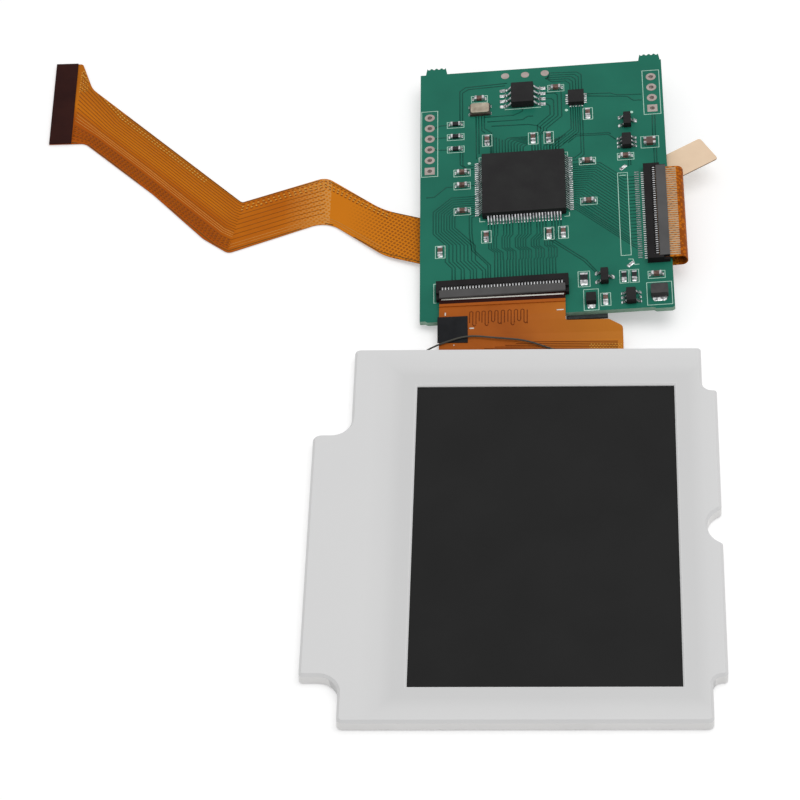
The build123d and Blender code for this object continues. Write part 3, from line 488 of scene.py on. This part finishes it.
tracks += [
    [(27.15, touch_lead_y), (27.15, 36.1), (26.0, 35.0), (25.5, 35.0)],
    [(27.6, touch_lead_y), (27.6, 35.6), (26.4, 34.4), (25.5, 34.4)],
    [(14.9, 54.0), (7.7, 53.6), (6.75, 52.7), (6.75, 45.4)],
    [(14.5, 53.4), (8.2, 53.1), (7.2, 52.3), (7.2, 45.3)],
    [(10.9, 46.05), (15.9, 46.1), (17.4, 46.9), (17.4, 47.6)],
    [(12.1, 43.8), (18.4, 43.65), (19.9, 43.2), (20.6, 42.4)],
    [(11.4, 44.9), (17.4, 44.9), (18.3, 45.6), (19.2, 45.6)],
    [(9.5, 46.4), (9.5, 37.2), (9.5, 36.2)], [(9.95, 46.4), (9.95, 37.4)],
    [(10.45, 46.4), (10.45, 42.9), (11.0, 42.3)],
    [(10.9, 46.4), (10.9, 43.4), (12.1, 42.2), (12.1, far_lead_y)],
    [(25.0, 38.7), (26.4, 40.1), (31.8, 40.0), (33.0, 38.7)],
    [(24.2, 38.5), (26.2, 40.5), (31.9, 40.4), (32.2, 40.1)],
    [(28.1, 50.1), (32.4, 49.9), (33.6, 49.35), (37.7, 49.1)],
    [(28.1, 49.6), (35.3, 48.8), (36.3, 47.75), (37.7, 47.7)],
    [(34.95, 33.9), (34.95, 32.2)], [(35.35, 33.9), (35.35, 32.4)],
    [(39.35, 36.4), (39.3, 31.6)], [(39.75, 36.4), (39.7, 31.6)],
    [(39.35, 44.0), (39.25, 38.6)], [(39.8, 44.0), (39.7, 38.6)],
    [(9.4, 30.0), (4.4, 30.0), (2.3, 27.9), (1.0, 27.9)],
    [(21.4, 16.5), (26.9, 11.2), (28.8, 8.4)], [(21.9, 16.6), (27.3, 11.4), (29.1, 8.5)],
    [(9.0, 34.5), (7.6, 34.5), (7.2, 34.9), (7.2, 38.0)],
    [(9.0, 33.9), (7.9, 33.9), (6.75, 35.1), (6.75, 38.0)],
]
for i in range(3):
    tracks.append([(2.4, 39.1 + header_pitch * i), (3.4, 38.9 + 2.9 * i), (5.0, 38.8 + 2.95 * i)])
for i in range(1, 13):
    x = processor_centre[0] + lead_offset(i)
    if i < 6:
        tracks.append([(x, far_lead_y), (x, 41.9 - 0.3 * i)])
    else:
        rise = 38.3 + 0.32 * (12 - i)
        tracks.append([(x, far_lead_y), (x, rise), (x + 0.5, rise + 0.5), (18.1, rise + 0.5)])
for i in range(19, 25):
    x = processor_centre[0] + lead_offset(i)
    y = 38.2 + 0.25 * (i - 19)
    tracks.append([(x, far_lead_y), (x, y), (x + 1.2, y + 1.2)])


def strip_section(width, height):
    """Cross-section of a printed strip that lies on the board."""
    half = width / 2
    foot = 0.001
    return [(-half, foot), (half, foot), (half, height), (-half, height)]


on_board(drawn(tracks, strip_section(track_w, track_h)), "board_tracks", track_shade)


def cornered(left, right, near, far):
    """Corners of an upright box on the board."""
    return [(left, near), (right, near), (right, far), (left, far)]


def box_round(x, y, length, width, upright):
    """Legend box round a chip part that lies level or upright."""
    across, along = (width, length) if upright else (length, width)
    return cornered(x - across / 2, x + across / 2, y - along / 2, y + along / 2)


chip_capacitors = {
    "crystal_capacitor": [(10.1, 50.5, False)],
    "touch_capacitor_1": [(23.2, 51.96, False)],
    "touch_capacitor_2": [(28.5, 45.25, True)],
    "shifter_capacitor": [(34.55, 34.5, False)],
    "boost_input_capacitor": [(38.65, 7.09, False)],
    "boost_output_capacitor": [(30.25, 2.35, True)],
    "display_capacitor": [(3.36, 15.2, True)],
    "decoupling_capacitors": [
        (11.34, 40.42, True), (19.13, 40.2, True), (21.75, 40.2, True), (11.0, 18.0, True),
        (21.38, 17.85, True), (23.74, 17.9, True), (7.05, 33.13, False), (7.05, 30.09, False),
        (7.05, 24.15, False), (28.12, 33.96, False), (28.12, 24.64, False)],
}
chip_resistors = {
    "key_resistor_1": [(6.0, 38.8, False)],
    "key_resistor_2": [(6.0, 41.75, False)],
    "key_resistor_3": [(6.0, 44.7, False)],
    "feedback_resistors": [(33.38, 7.09, True), (35.05, 7.09, True)],
}
sense_places = [(26.85, 7.09, True)]
chips = {"level_shifter": (34.85, 37.7), "boost_converter": (34.4, 2.35), "transistor_1": (35.1, 42.7),
         "transistor_2": (30.22, 7.09), "schottky_diode": (27.9, 2.35), "power_inductor": (39.0, 3.05),
         "memory_chip": (17.5, 50.2), "crystal": (10.2, 47.7), "touch_chip": (26.6, 49.05),
         "filter_array": (38.7, 37.5)}
legend_frames = [
    cornered(0.2, 2.95, 32.75, 48.3), cornered(38.0, 40.85, 44.1, 54.7), cornered(33.05, 34.7, 11.8, 30.7),
    cornered(26.7, 29.1, 0.15, 4.75), cornered(36.95, 41.0, 0.45, 5.4),
    box_round(*sense_places[0][:2], 3.4, 1.9, True), box_round(*chips["filter_array"], 3.0, 2.7, False),
]
for parts, length, width in ((chip_capacitors, 2.75, 1.6), (chip_resistors, 2.85, 1.45)):
    for places in parts.values():
        legend_frames += [box_round(x, y, length, width, upright) for x, y, upright in places]
legend_lines = [
    [(14.4, 47.55), (20.6, 47.6)],
    [(34.2, 10.9), (34.95, 10.85), (35.2, 9.6), (35.95, 9.65)],
    [(2.75, 3.9), (2.3, 3.9), (2.3, 8.1), (2.8, 8.1)],
    [(33.3, 30.1), (34.45, 30.1)],
]
corner_out = 7.45
corner_l = 0.9
for side_x in (-1, 1):
    for side_y in (-1, 1):
        x = processor_centre[0] + side_x * corner_out
        y = processor_centre[1] + side_y * corner_out
        legend_lines.append([(x - side_x * corner_l, y), (x, y), (x, y - side_y * corner_l)])
legend_w = 0.16
legend_h = 0.03
board_legend = finish("board_legend", (188, 224, 208), (168, 210, 192), 0.004, 0.55)
legend_section = strip_section(legend_w, legend_h)
on_board(drawn(legend_frames, legend_section, closed=True), "legend_frames", board_legend)
on_board(drawn(legend_lines, legend_section), "legend_lines", board_legend)


def crowned(piece, margin, rise):
    """Draws a piece's top face in by a margin and lifts it, which leaves a sloping rim."""
    bpy.ops.object.mode_set(mode="EDIT")
    bpy.ops.mesh.select_mode(type="FACE")
    bpy.ops.mesh.select_all(action="DESELECT")
    bpy.ops.object.mode_set(mode="OBJECT")
    for polygon in piece.data.polygons:
        polygon.select = polygon.normal.z > 0.9
    bpy.ops.object.mode_set(mode="EDIT")
    bpy.ops.mesh.inset(thickness=margin, depth=rise)
    bpy.ops.object.mode_set(mode="OBJECT")
    return piece


def disc(radius, rise, sides, crown):
    """Flat round pad with a crowned rim, on the board at its own origin."""
    bpy.ops.mesh.primitive_cylinder_add(vertices=sides, radius=radius, depth=rise, location=(0, 0, rise / 2))
    piece = crowned(bpy.context.object, crown, rise / 3)
    bpy.ops.object.transform_apply(location=True, rotation=True, scale=True)
    return piece


def block(length, breadth, height, middle):
    """Plain block of this size round its middle, with its size in its mesh."""
    bpy.ops.mesh.primitive_cube_add(size=1, location=middle)
    piece = bpy.context.object
    piece.scale = (length, breadth, height)
    bpy.ops.object.transform_apply(location=True, rotation=True, scale=True)
    return piece


def repeated(model, places):
    """Copies of one model, each with its own mesh, turned and stretched in place, joined in one."""
    copies = []
    for x, y, turn, stretch_x, stretch_y in places:
        copy = model.copy()
        copy.data = model.data.copy()
        bpy.context.scene.collection.objects.link(copy)
        copy.matrix_world = (Matrix.Translation((x, y, 0)) @ Matrix.Rotation(radians(turn), 4, "Z")
                             @ Matrix.Diagonal((stretch_x, stretch_y, 1, 1)))
        copies.append(copy)
    bpy.data.objects.remove(model)
    bpy.ops.object.select_all(action="DESELECT")
    for copy in copies:
        copy.select_set(True)
    bpy.context.view_layer.objects.active = copies[0]
    bpy.ops.object.transform_apply(location=True, rotation=True, scale=True)
    if len(copies) > 1:
        bpy.ops.object.join()
    return bpy.context.object


def plain(middles):
    """Places for copies that are neither turned nor stretched."""
    return [(x, y, 0, 1, 1) for x, y in middles]


bare_pad = finish("bare_pad", (176, 164, 158), (160, 146, 140), 0.0012, 0.35, metallic=0.35)
test_places = [(14.56, 55.75), (17.99, 55.75), (21.38, 55.83)]
on_board(repeated(disc(0.7, 0.03, 28, 0.08), plain(test_places)), "test_pads", bare_pad)
dot_places = [(8.28, 35.27), (35.9, 44.9), (24.9, 46.45)]
on_board(repeated(disc(0.28, 0.03, 16, 0.05), plain(dot_places)), "pin_one_dots", board_legend)

barrel_r = 0.4
hole_r = 0.49
pad_r = 0.85
board_floor = -0.8
pad_rise = 0.035
spool = [(barrel_r, board_floor - pad_rise), (pad_r, board_floor - pad_rise), (pad_r, board_floor - 0.001),
         (hole_r, board_floor), (hole_r, 0), (pad_r, 0.001), (pad_r, pad_rise), (barrel_r, pad_rise)]


def eyelet(square):
    """Plated hole: pads on both faces and the barrel between them, the top pad round or square."""
    rim = bpy.data.meshes.new("eyelet")
    rim.from_pydata([(r, 0, z) for r, z in spool],
                    [(i, (i + 1) % len(spool)) for i in range(len(spool))], [])
    piece = linked("eyelet", rim)
    take(piece)
    edit_all()
    bpy.ops.mesh.spin(steps=32, angle=2 * pi, center=(0, 0, 0), axis=(0, 0, 1))
    bpy.ops.mesh.select_all(action="SELECT")
    bpy.ops.mesh.remove_doubles(threshold=0.001)
    bpy.ops.mesh.normals_make_consistent(inside=False)
    bpy.ops.object.mode_set(mode="OBJECT")
    if square:
        for vertex in piece.data.vertices:
            if hypot(vertex.co.x, vertex.co.y) > pad_r - 0.01:
                grow = pad_r / max(abs(vertex.co.x), abs(vertex.co.y))
                vertex.co.x *= grow
                vertex.co.y *= grow
    return piece


square_places = [(1.59, 34.06), (39.45, 45.53)]
round_places = [(x, y + header_pitch * i) for (x, y), count in zip(square_places, (6, 4))
                for i in range(1, count)]
on_board(repeated(eyelet(False), plain(round_places)), "round_eyelets", bare_pad)
on_board(repeated(eyelet(True), plain(square_places)), "square_eyelets", bare_pad)

# Solder: every terminal sits in a bright fillet on its pad, and the row of pads for a second
# connector, with its two large anchor pads, is tinned but left empty.


def fillet_wedge():
    """Solder fillet one millimetre wide that climbs an end cap, its root at the cap's face."""
    piece = block(1, 1, 1, (0.5, 0, 0.5))
    edit_all()
    bpy.ops.mesh.subdivide(number_cuts=3)
    bpy.ops.object.mode_set(mode="OBJECT")
    for vertex in piece.data.vertices:
        out = vertex.co.x
        vertex.co.z *= 0.05 + 0.42 * (1 - out) ** 2.2
        vertex.co.y *= 1 - 0.25 * out * out
        vertex.co.x = 0.5 * out
    bpy.ops.object.shade_smooth_by_angle(angle=radians(40))
    return piece


# The solder's dark patches are painted reflection of dark surroundings, mixed into its colour.
solder = finish("solder", (238, 240, 240), (96, 98, 100), 0.0004, 0.24, metallic=0.9)
# Each fillet: its root, turn in degrees and stretch; each pad: middle, turn, length and breadth.
fillets = []
flat_places = [(34.05, 31.9, 45, 1.4, 0.6), (34.55, 9.75, 45, 1.4, 0.6)]
cap_sizes = [(places, 0.8, 0.86) for places in (*chip_capacitors.values(), *chip_resistors.values())]
for places, half_l, breadth in [*cap_sizes, (sense_places, 1.0, 1.3)]:
    for x, y, upright in places:
        for end in (0, 180):
            turn = end + (90 if upright else 0)
            root_x = x + half_l * cos(radians(turn))
            root_y = y + half_l * sin(radians(turn))
            fillets.append((root_x, root_y, turn, 0.8, breadth))
for name in ("level_shifter", "boost_converter"):
    x, y = chips[name]
    for out in (-1, 1):
        for row in (-0.95, 0, 0.95):
            fillets.append((x + 1.25 * out, y + row, 0 if out > 0 else 180, 0.8, 0.62))
x, y = chips["schottky_diode"]
fillets += [(x, y + 1.35, 90, 0.8, 1.2), (x, y - 1.35, -90, 0.9, 1.3)]
x, y = chips["power_inductor"]
fillets += [(x, y - 1.45, -90, 0.7, 2.3), (x, y + 1.45, 90, 0.5, 2.3)]
for name in ("transistor_1", "transistor_2"):
    x, y = chips[name]
    fillets += [(x - 1.05, y - 0.95, 180, 1.0, 0.8), (x - 1.05, y + 0.95, 180, 1.0, 0.8),
                (x + 1.05, y, 0, 1.1, 0.85)]
x, middle_y = chips["memory_chip"]
for side in (-1, 1):
    for row in range(4):
        y = middle_y + memory_pitch * (row - 1.5)
        fillets.append((x + side * 2.85, y, 0 if side > 0 else 180, 1.1, 0.62))
        flat_places.append((x + side * 3.35, y, 0, 1.1, 0.66))
x, y = chips["crystal"]
for x_side in (-1, 1):
    for y_side in (-1, 1):
        fillets.append((x + 1.7 * x_side, y + 0.85 * y_side, 0 if x_side > 0 else 180, 0.5, 0.75))
on_board(repeated(fillet_wedge(), fillets), "solder_fillets", solder)


def flat_pad():
    """Tinned pad one millimetre square, slightly domed."""
    return crowned(block(1, 1, 0.04, (0, 0, 0.02)), 0.12, 0.02)


contacts = range(40)
fine_places = [(36.2, 11.1 + lead_pitch * i, 0, 0.75, 0.2) for i in contacts]
fine_places += [(connector_first_x + lead_pitch * i, 7.95, 90, 0.9, 0.3) for i in contacts]
lead_foot = 7.85
for side in range(4):
    turn = radians(90 * side)
    for i in range(25):
        along = lead_offset(i)
        x = processor_centre[0] + lead_foot * cos(turn) - along * sin(turn)
        y = processor_centre[1] + lead_foot * sin(turn) + along * cos(turn)
        flat_places.append((x, y, 90 * side, 0.7, 0.25))
x, y = chips["touch_chip"]
for i in range(-2, 3):
    flat_places += [(x + side * 1.5, y + lead_pitch * i, 0, 0.6, 0.28) for side in (-1, 1)]
    flat_places.append((x + lead_pitch * i, y - 1.6, 90, 0.5, 0.28))
dull_tin = finish("dull_tin", (158, 162, 162), (104, 110, 110), 0.0004, 0.35, metallic=0.6)
on_board(repeated(flat_pad(), fine_places), "fine_pads", dull_tin)
on_board(repeated(flat_pad(), flat_places), "tinned_pads", solder)

# Foam strip: soft black foam, cut to a strip and glued under the board's near edge. Its end is
# squeezed up against the film, so no gap shows between the two.
foam_end = block(0.42, 2.2, 0.38, (23.93, 0.35, -1.02))
edit_all()
bpy.ops.mesh.bevel(offset=0.05, segments=2)
bpy.ops.object.mode_set(mode="OBJECT")
on_board(foam_end, "foam_end", black_foam)

# Chips: matt black moulding compound on tinned leads. The small ones are one solid, so the
# faces outside their bodies take the finish of the leads.
moulding = finish("moulding_compound", (38, 38, 38), (33, 32, 33), 0.003, 0.5, grain=0.00015, shine=0.1)
# The leads' dark patches are painted reflection of dark surroundings, mixed into their colour.
tinned_lead = finish("tinned_lead", (218, 218, 220), (126, 128, 132), 0.0005, 0.26, metallic=0.85)
for body, leads in (("processor_body", "processor_leads"), ("memory_chip", "memory_chip_leads")):
    dress(body, moulding)
    dress(leads, tinned_lead)
world_to_board = board_place.inverted()


def split_faces(name, test, *looks):
    """Gives a node two finishes: the second for faces whose middle, on the board, passes the test."""
    dress(name, *looks)
    for polygon in frame["nodes"][name].data.polygons:
        polygon.material_index = 1 if test(world_to_board @ polygon.center) else 0


def aside(name, p):
    """How far a point on the board is from a chip's middle, across and along the board."""
    return abs(p.x - chips[name][0]), abs(p.y - chips[name][1])


terminal_top = 0.31
body_halves = {"level_shifter": 0.81, "boost_converter": 0.81, "transistor_1": 0.66, "transistor_2": 0.66,
               "touch_chip": 1.36}
for name, half in body_halves.items():
    split_faces(name, lambda p, name=name, half=half: aside(name, p)[0] > half, moulding, tinned_lead)


def diode_lead(p):
    """Tells whether a point is on one of the diode's leads, which turn down past its ends."""
    along = aside("schottky_diode", p)[1]
    return along > 1.35 or p.z < terminal_top and along > 1.3


split_faces("schottky_diode", diode_lead, moulding, tinned_lead)
ceramic = finish("crystal_ceramic", (46, 36, 32), (58, 44, 38), 0.001, 0.5)
crystal_lid = finish("crystal_lid", (186, 176, 158), (146, 134, 118), 0.002, 0.3, metallic=0.8)
ceramic_top = 0.46
split_faces("crystal", lambda p: p.z > ceramic_top, ceramic, crystal_lid)
ferrite = finish("ferrite", (60, 58, 58), (48, 47, 48), 0.0015, 0.55, grain=0.00015, depth=0.000008,
                 shine=0.3)
split_faces("power_inductor", lambda p: aside("power_inductor", p)[1] > 1.06 and p.z < terminal_top,
            ferrite, tinned_lead)
filter_ceramic = finish("filter_ceramic", (96, 66, 58), (80, 54, 48), 0.001, 0.45)
split_faces("filter_array",
            lambda p: aside("filter_array", p)[0] > 0.55 and aside("filter_array", p)[1] > 0.25,
            filter_ceramic, tinned_lead)

# Chip capacitors and resistors: brown or black ceramic blocks between tinned end caps, which
# are soldered flat to the board.


def capped(name, places, half_body, *looks):
    """Gives the end caps of a node's chip parts the second finish."""
    seam = 0.004

    def is_cap(p):
        """Tells whether a point is on an end cap of the part nearest to it."""
        x, y, upright = min(places, key=lambda place: hypot(place[0] - p.x, place[1] - p.y))
        return abs(p.y - y if upright else p.x - x) > half_body - seam

    split_faces(name, is_cap, *looks)


capacitor_ceramic = finish("capacitor_ceramic", (128, 102, 94), (84, 62, 56), 0.0006, 0.45, shine=0.15)
resistor_glaze = finish("resistor_glaze", (34, 33, 36), (26, 26, 30), 0.0015, 0.3, shine=0.2)
for name, places in chip_capacitors.items():
    capped(name, places, 0.45, capacitor_ceramic, tinned_lead)
for name, places in chip_resistors.items():
    capped(name, places, 0.5, resistor_glaze, tinned_lead)
capped("sense_resistor", sense_places, 0.6, resistor_glaze, tinned_lead)

# Connectors: black housings with bright forked contacts, and grey flip latches whose ends and
# pivots are black. The latches turn, so nothing of the housing is fixed to them.
housing_black = finish("housing_black", (36, 34, 35), (30, 28, 29), 0.003, 0.45, shine=0.06)
latch_grey = finish("latch_grey", (84, 83, 83), (76, 75, 75), 0.004, 0.45, shine=0.15)
contact_metal = finish("contact_metal", (214, 214, 214), (182, 184, 186), 0.0008, 0.24, metallic=0.85)
for name in ("display_connector", "ribbon_connector"):
    dress(name + "_housing", housing_black)
    dress(name + "_contacts", contact_metal)
grey_half = 10.05
display_x = 13.559
ribbon_y = 20.58
split_faces("display_connector_latch", lambda p: abs(p.x - display_x) > grey_half, latch_grey, housing_black)
split_faces("ribbon_connector_latch", lambda p: abs(p.y - ribbon_y) > grey_half, latch_grey, housing_black)
heel_level = 1.14


def contact_heel():
    """Bent end of a contact's upper arm, which shows in its slot in the roof."""
    return crowned(block(0.38, 0.15, 0.06, (0, 0, heel_level)), 0.03, 0.02)


heel_places = plain((39.02, 10.83 + lead_pitch * i) for i in contacts)
on_board(repeated(contact_heel(), heel_places), "ribbon_contact_heels", contact_metal)

# Console ribbon: copper between golden films, die cut, with its printed conductors, rows of
# vias and a hatched ground near the board. Its plug end is thickened by a dark tongue.
golden_film = finish("golden_film", (190, 104, 14), (180, 94, 11), 0.006, 0.4, shine=0.05)
film_tree = golden_film.node_tree
film_place = film_tree.nodes.new("ShaderNodeTexCoord")
film_turn = film_tree.nodes.new("ShaderNodeMapping")
hatch_turn = radians(36)
film_turn.inputs["Rotation"].default_value = (0, 0, hatch_turn)
film_turned = film_tree.nodes.new("ShaderNodeSeparateXYZ")
film_tree.links.new(film_place.outputs["Object"], film_turn.inputs["Vector"])
film_tree.links.new(film_turn.outputs["Vector"], film_turned.inputs["Vector"])
film_axes = axes(film_tree)
first_run_end = (-0.0555, -0.0505)
crest = (-0.044, -0.0362)
hatch_start = (-0.0335, -0.0265)
bend_start = 0.0217
hatch_pitch = 0.00066
hatch_line = 0.42


def hatch_lines(axis):
    """Share of the hatch's lines that run across one axis of the turned film."""
    cell = worked_out(film_tree, "DIVIDE", film_turned.outputs[axis], hatch_pitch)
    return worked_out(film_tree, "LESS_THAN", worked_out(film_tree, "FRACT", cell), hatch_line)


def product(*factors):
    """Socket of a product worked out in the film's material."""
    total = factors[0]
    for factor in factors[1:]:
        total = worked_out(film_tree, "MULTIPLY", total, factor)
    return total


def rest_of(share):
    """What a share leaves of one, in the film's material."""
    return worked_out(film_tree, "SUBTRACT", 1.0, share)


hatch = worked_out(film_tree, "MAXIMUM", hatch_lines("X"), hatch_lines("Y"))
in_hatch = soft_step(film_tree, film_axes["X"], *hatch_start)
below_board = worked_out(film_tree, "LESS_THAN", film_axes["X"], bend_start)
cells = product(in_hatch, rest_of(hatch), below_board, 0.75)
mottle = film_tree.nodes.new("ShaderNodeTexVoronoi")
spots_per_metre = 1600
spot_edge = 0.45
mottle.inputs["Scale"].default_value = spots_per_metre
film_tree.links.new(film_place.outputs["Object"], mottle.inputs["Vector"])
in_spot = worked_out(film_tree, "GREATER_THAN", mottle.outputs["Distance"], spot_edge)
spots = product(in_spot, rest_of(below_board), 0.7)
across_run = worked_out(film_tree, "ADD", film_axes["X"], film_axes["Y"])
run_near = 0.0109
run_reach = 0.0135
from_near = worked_out(film_tree, "SUBTRACT", across_run, run_near)
run_share = worked_out(film_tree, "DIVIDE", from_near, run_reach)
run_shades = film_tree.nodes.new("ShaderNodeValToRGB")
run_shades.color_ramp.elements[0].color = paint(166, 76, 6)
run_shades.color_ramp.elements[1].color = paint(180, 102, 14)
for stop, shade in ((0.3, (170, 80, 8)), (0.4, (184, 94, 10)), (0.55, (202, 116, 16)), (0.8, (192, 108, 16))):
    run_shades.color_ramp.elements.new(stop).color = paint(*shade)
film_tree.links.new(run_share, run_shades.inputs["Fac"])
first_run = product(rest_of(soft_step(film_tree, film_axes["X"], *first_run_end)), 0.85)
# Painted light: from the fold's crest up to the bend under the board, the film is painted lighter where it
# rises, and the hatch on the crest itself gets a painted highlight.
lit_past_crest = soft_step(film_tree, film_axes["X"], *crest)
crest_highlight = product(worked_out(film_tree, "GREATER_THAN", film_axes["X"], crest[0]),
                   worked_out(film_tree, "LESS_THAN", film_axes["X"], crest[1]))
film_colour = film_tree.nodes["tint"].outputs["Color"]
for share, colour in ((first_run, run_shades.outputs["Color"]),
                      (product(lit_past_crest, below_board, 0.7), (214, 128, 22)),
                      (product(crest_highlight, hatch, lit_past_crest, 0.8), (212, 152, 82)),
                      (cells, (126, 68, 18)),
                      (spots, (122, 56, 14))):
    film_colour = mixed(film_tree, share, film_colour, colour)
coloured(golden_film, film_colour)
dress("console_ribbon", golden_film)
finger_gold = finish("finger_gold", (188, 162, 130), (168, 142, 110), 0.001, 0.3, metallic=0.5)
for end in ("plug", "tail"):
    dress(f"ribbon_{end}_stiffener", dark_stiffener)
    dress(f"ribbon_{end}_fingers", finger_gold)
corner_x = -20.42
corner_y = 45.12
stations = [
    ((-60.6, 65.2), (-61.0, 45.0)), ((-52.0, 52.0), (-58.3, 44.7)), ((-43.1, 42.8), (-49.5, 35.7)),
    ((-36.3, 35.7), (-42.5, 28.1)), ((-31.0, 30.3), (-34.8, 19.8)), ((-30.5, 30.1), (-32.4, 18.2)),
    ((-24.3, 32.7), (-20.4, 23.4)), ((-17.0, 35.7), (-16.5, 24.6)), ((-10.6, 30.6), (-15.2, 24.2)),
    ((-5.4, 27.0), (-7.2, 17.4)), ((3.1, 23.9), (3.1, 13.2)),
]


def along_ribbon(share, first=0, last=10):
    """Plan run at a share of the ribbon's width from its far edge, between two stations."""
    return [(corner_x + far[0] + share * (near[0] - far[0]), corner_y + far[1] + share * (near[1] - far[1]))
            for far, near in stations[first:last + 1]]


border = [spaced(along_ribbon(share), 1.0) for share in (0.015, 0.985)]
border_shade = finish("border_shade", (112, 78, 28), (100, 70, 28), 0.004, 0.4, shine=0.05)
keep(laid(border, 0.15, "console_ribbon"), "ribbon_border", border_shade)
light_lines = [spaced(along_ribbon(share, 0, 5), 1.0) for share in (0.63, 0.67, 0.71)]
light_lines += [spaced(along_ribbon(share, 5, 9), 1.0) for share in (0.86, 0.92)]
light_print = finish("light_print", (206, 140, 60), (196, 128, 50), 0.004, 0.35, shine=0.1)
keep(laid(light_lines, 0.12, "console_ribbon"), "ribbon_light_lines", light_print)
fine_lines = []
for first_share, step, count, span in ((0.05, 0.05, 6, (0, 5)), (0.35, 0.05, 6, (0, 5)),
                                       (0.77, 0.045, 4, (0, 5)), (0.26, 0.1, 6, (5, 7))):
    fine_lines += [spaced(along_ribbon(first_share + step * i, *span), 1.2) for i in range(count)]
fine_print = finish("fine_print", (148, 82, 10), (140, 74, 8), 0.004, 0.38, shine=0.05)
keep(laid(fine_lines, 0.13, "console_ribbon"), "ribbon_conductors", fine_print)


def dotted(run, step, length):
    """Short dashes along a run, one every step."""
    points = spaced(run, step)
    dashes = []
    for start, end in zip(points, points[1:]):
        across, along = end[0] - start[0], end[1] - start[1]
        share = min(1.0, length / hypot(across, along))
        dashes.append([start, (start[0] + share * across, start[1] + share * along)])
    return dashes


via_dots = []
for share in (0.075, 0.125):
    via_dots += dotted(along_ribbon(share, 0, 3), 0.8, 0.28)
for share in (0.1, 0.16):
    via_dots += dotted(along_ribbon(share, 5, 9), 0.95, 0.3)
for column in range(4):
    for row in range(9):
        x = corner_x - 60.9 + 0.42 * column
        y = corner_y + 58.2 + 0.62 * row + 0.3 * (column % 2)
        via_dots.append([(x, y), (x + 0.22, y)])
dark_dashes = []
for share in (0.79, 0.84, 0.89, 0.94):
    dark_dashes += dotted(along_ribbon(share, 0, 5), 0.9, 0.45)
for share in (0.055, 0.13, 0.19):
    dark_dashes += dotted(along_ribbon(share, 5, 9), 0.95, 0.45)
dash_print = finish("dash_print", (134, 64, 14), (126, 58, 14), 0.004, 0.4, shine=0.05)
keep(laid(dark_dashes, 0.16, "console_ribbon"), "ribbon_dashes", dash_print)
keep(laid(via_dots, 0.24, "console_ribbon"), "ribbon_vias", gilt)

# Touch pad: a thin gilded plate with rounded corners, stamped from sheet, so its edges are
# darker. It is glued under the ribbon's lower run.
gilded = finish("gilded_plate", (234, 208, 178), (226, 198, 168), 0.006, 0.34, metallic=0.3, grain=0.002,
                depth=0.000001)
cut_from_sheet("touch_pad", gilded, finish("pad_edge", (134, 98, 62), (120, 88, 56), 0.002, 0.4))

camera_turn = radians(4.104)
camera_height = radians(46.608)
camera_roll = radians(-3.311)
camera_offset = (-0.02231, 0.02124, 0.5601)
sensor_width = 36.0
focal_pixels = 3647.0
picture_width = 800.0
back = Vector((sin(camera_turn) * cos(camera_height), -cos(camera_turn) * cos(camera_height),
               sin(camera_height)))
level = Vector((0, 0, 1)).cross(back).normalized()
upright = back.cross(level)
right = level * cos(camera_roll) + upright * sin(camera_roll)
up = upright * cos(camera_roll) - level * sin(camera_roll)
camera_data = bpy.data.cameras.new("photo_camera")
camera_data.sensor_width = sensor_width
camera_data.lens = focal_pixels * sensor_width / picture_width
camera_data.clip_start = 0.01
camera_data.clip_end = 20.0
camera = linked("photo_camera", camera_data)
camera_rotation = Matrix((right, up, back)).transposed().to_4x4()
camera_point = right * camera_offset[0] + up * camera_offset[1] + back * camera_offset[2]
camera.matrix_world = Matrix.Translation(camera_point) @ camera_rotation
bpy.context.scene.camera = camera
bpy.context.scene.view_settings.view_transform = "Standard"

bpy.ops.mesh.primitive_plane_add(size=4, location=(0, 0, -0.0001))
floor = bpy.context.object
floor.name = "studio_floor"
floor_paint = finish("floor_paint", (216, 216, 216), (213, 213, 213), 0.4, 0.8, grain=0.02)
floor_tree = floor_paint.node_tree
floor_rays = floor_tree.nodes.new("ShaderNodeLightPath").outputs
floor_lift = floor_tree.nodes.new("ShaderNodeEmission")
floor_sum = floor_tree.nodes.new("ShaderNodeAddShader")
seen_straight = worked_out(floor_tree, "MAXIMUM", floor_rays["Is Camera Ray"], floor_rays["Is Glossy Ray"])
lift_level = 0.4
floor_tree.links.new(worked_out(floor_tree, "MULTIPLY", seen_straight, lift_level),
                     floor_lift.inputs["Strength"])
floor_tree.links.new(floor_tree.nodes["Principled BSDF"].outputs[0], floor_sum.inputs[0])
floor_tree.links.new(floor_lift.outputs[0], floor_sum.inputs[1])
floor_tree.links.new(floor_sum.outputs[0], floor_tree.nodes["Material Output"].inputs["Surface"])
floor.data.materials.append(floor_paint)

surround = bpy.data.worlds.new("white_surround")
bpy.context.scene.world = surround
surround.use_nodes = True
surround_tree = surround.node_tree
surround_light = surround_tree.nodes["Background"]
surround_light.inputs["Color"].default_value = (1, 1, 1, 1)
rays = surround_tree.nodes.new("ShaderNodeLightPath").outputs
plain_level = 0.62
shown = worked_out(surround_tree, "MAXIMUM", rays["Is Camera Ray"], rays["Is Glossy Ray"])
shown = worked_out(surround_tree, "MAXIMUM", shown, rays["Is Transmission Ray"])
raised = worked_out(surround_tree, "MULTIPLY", shown, 1 - plain_level)
surround_tree.links.new(worked_out(surround_tree, "ADD", plain_level, raised),
                        surround_light.inputs["Strength"])

lamp_data = bpy.data.lights.new("soft_lamp", "AREA")
lamp_data.size = 0.5
lamp_data.energy = 1.5
soft_lamp = linked("soft_lamp", lamp_data)
lamp_point = Vector((0.13, 0.05, 0.62))
lamp_turn = lamp_point.to_track_quat("Z", "Y").to_matrix().to_4x4()
soft_lamp.matrix_world = Matrix.Translation(lamp_point) @ lamp_turn
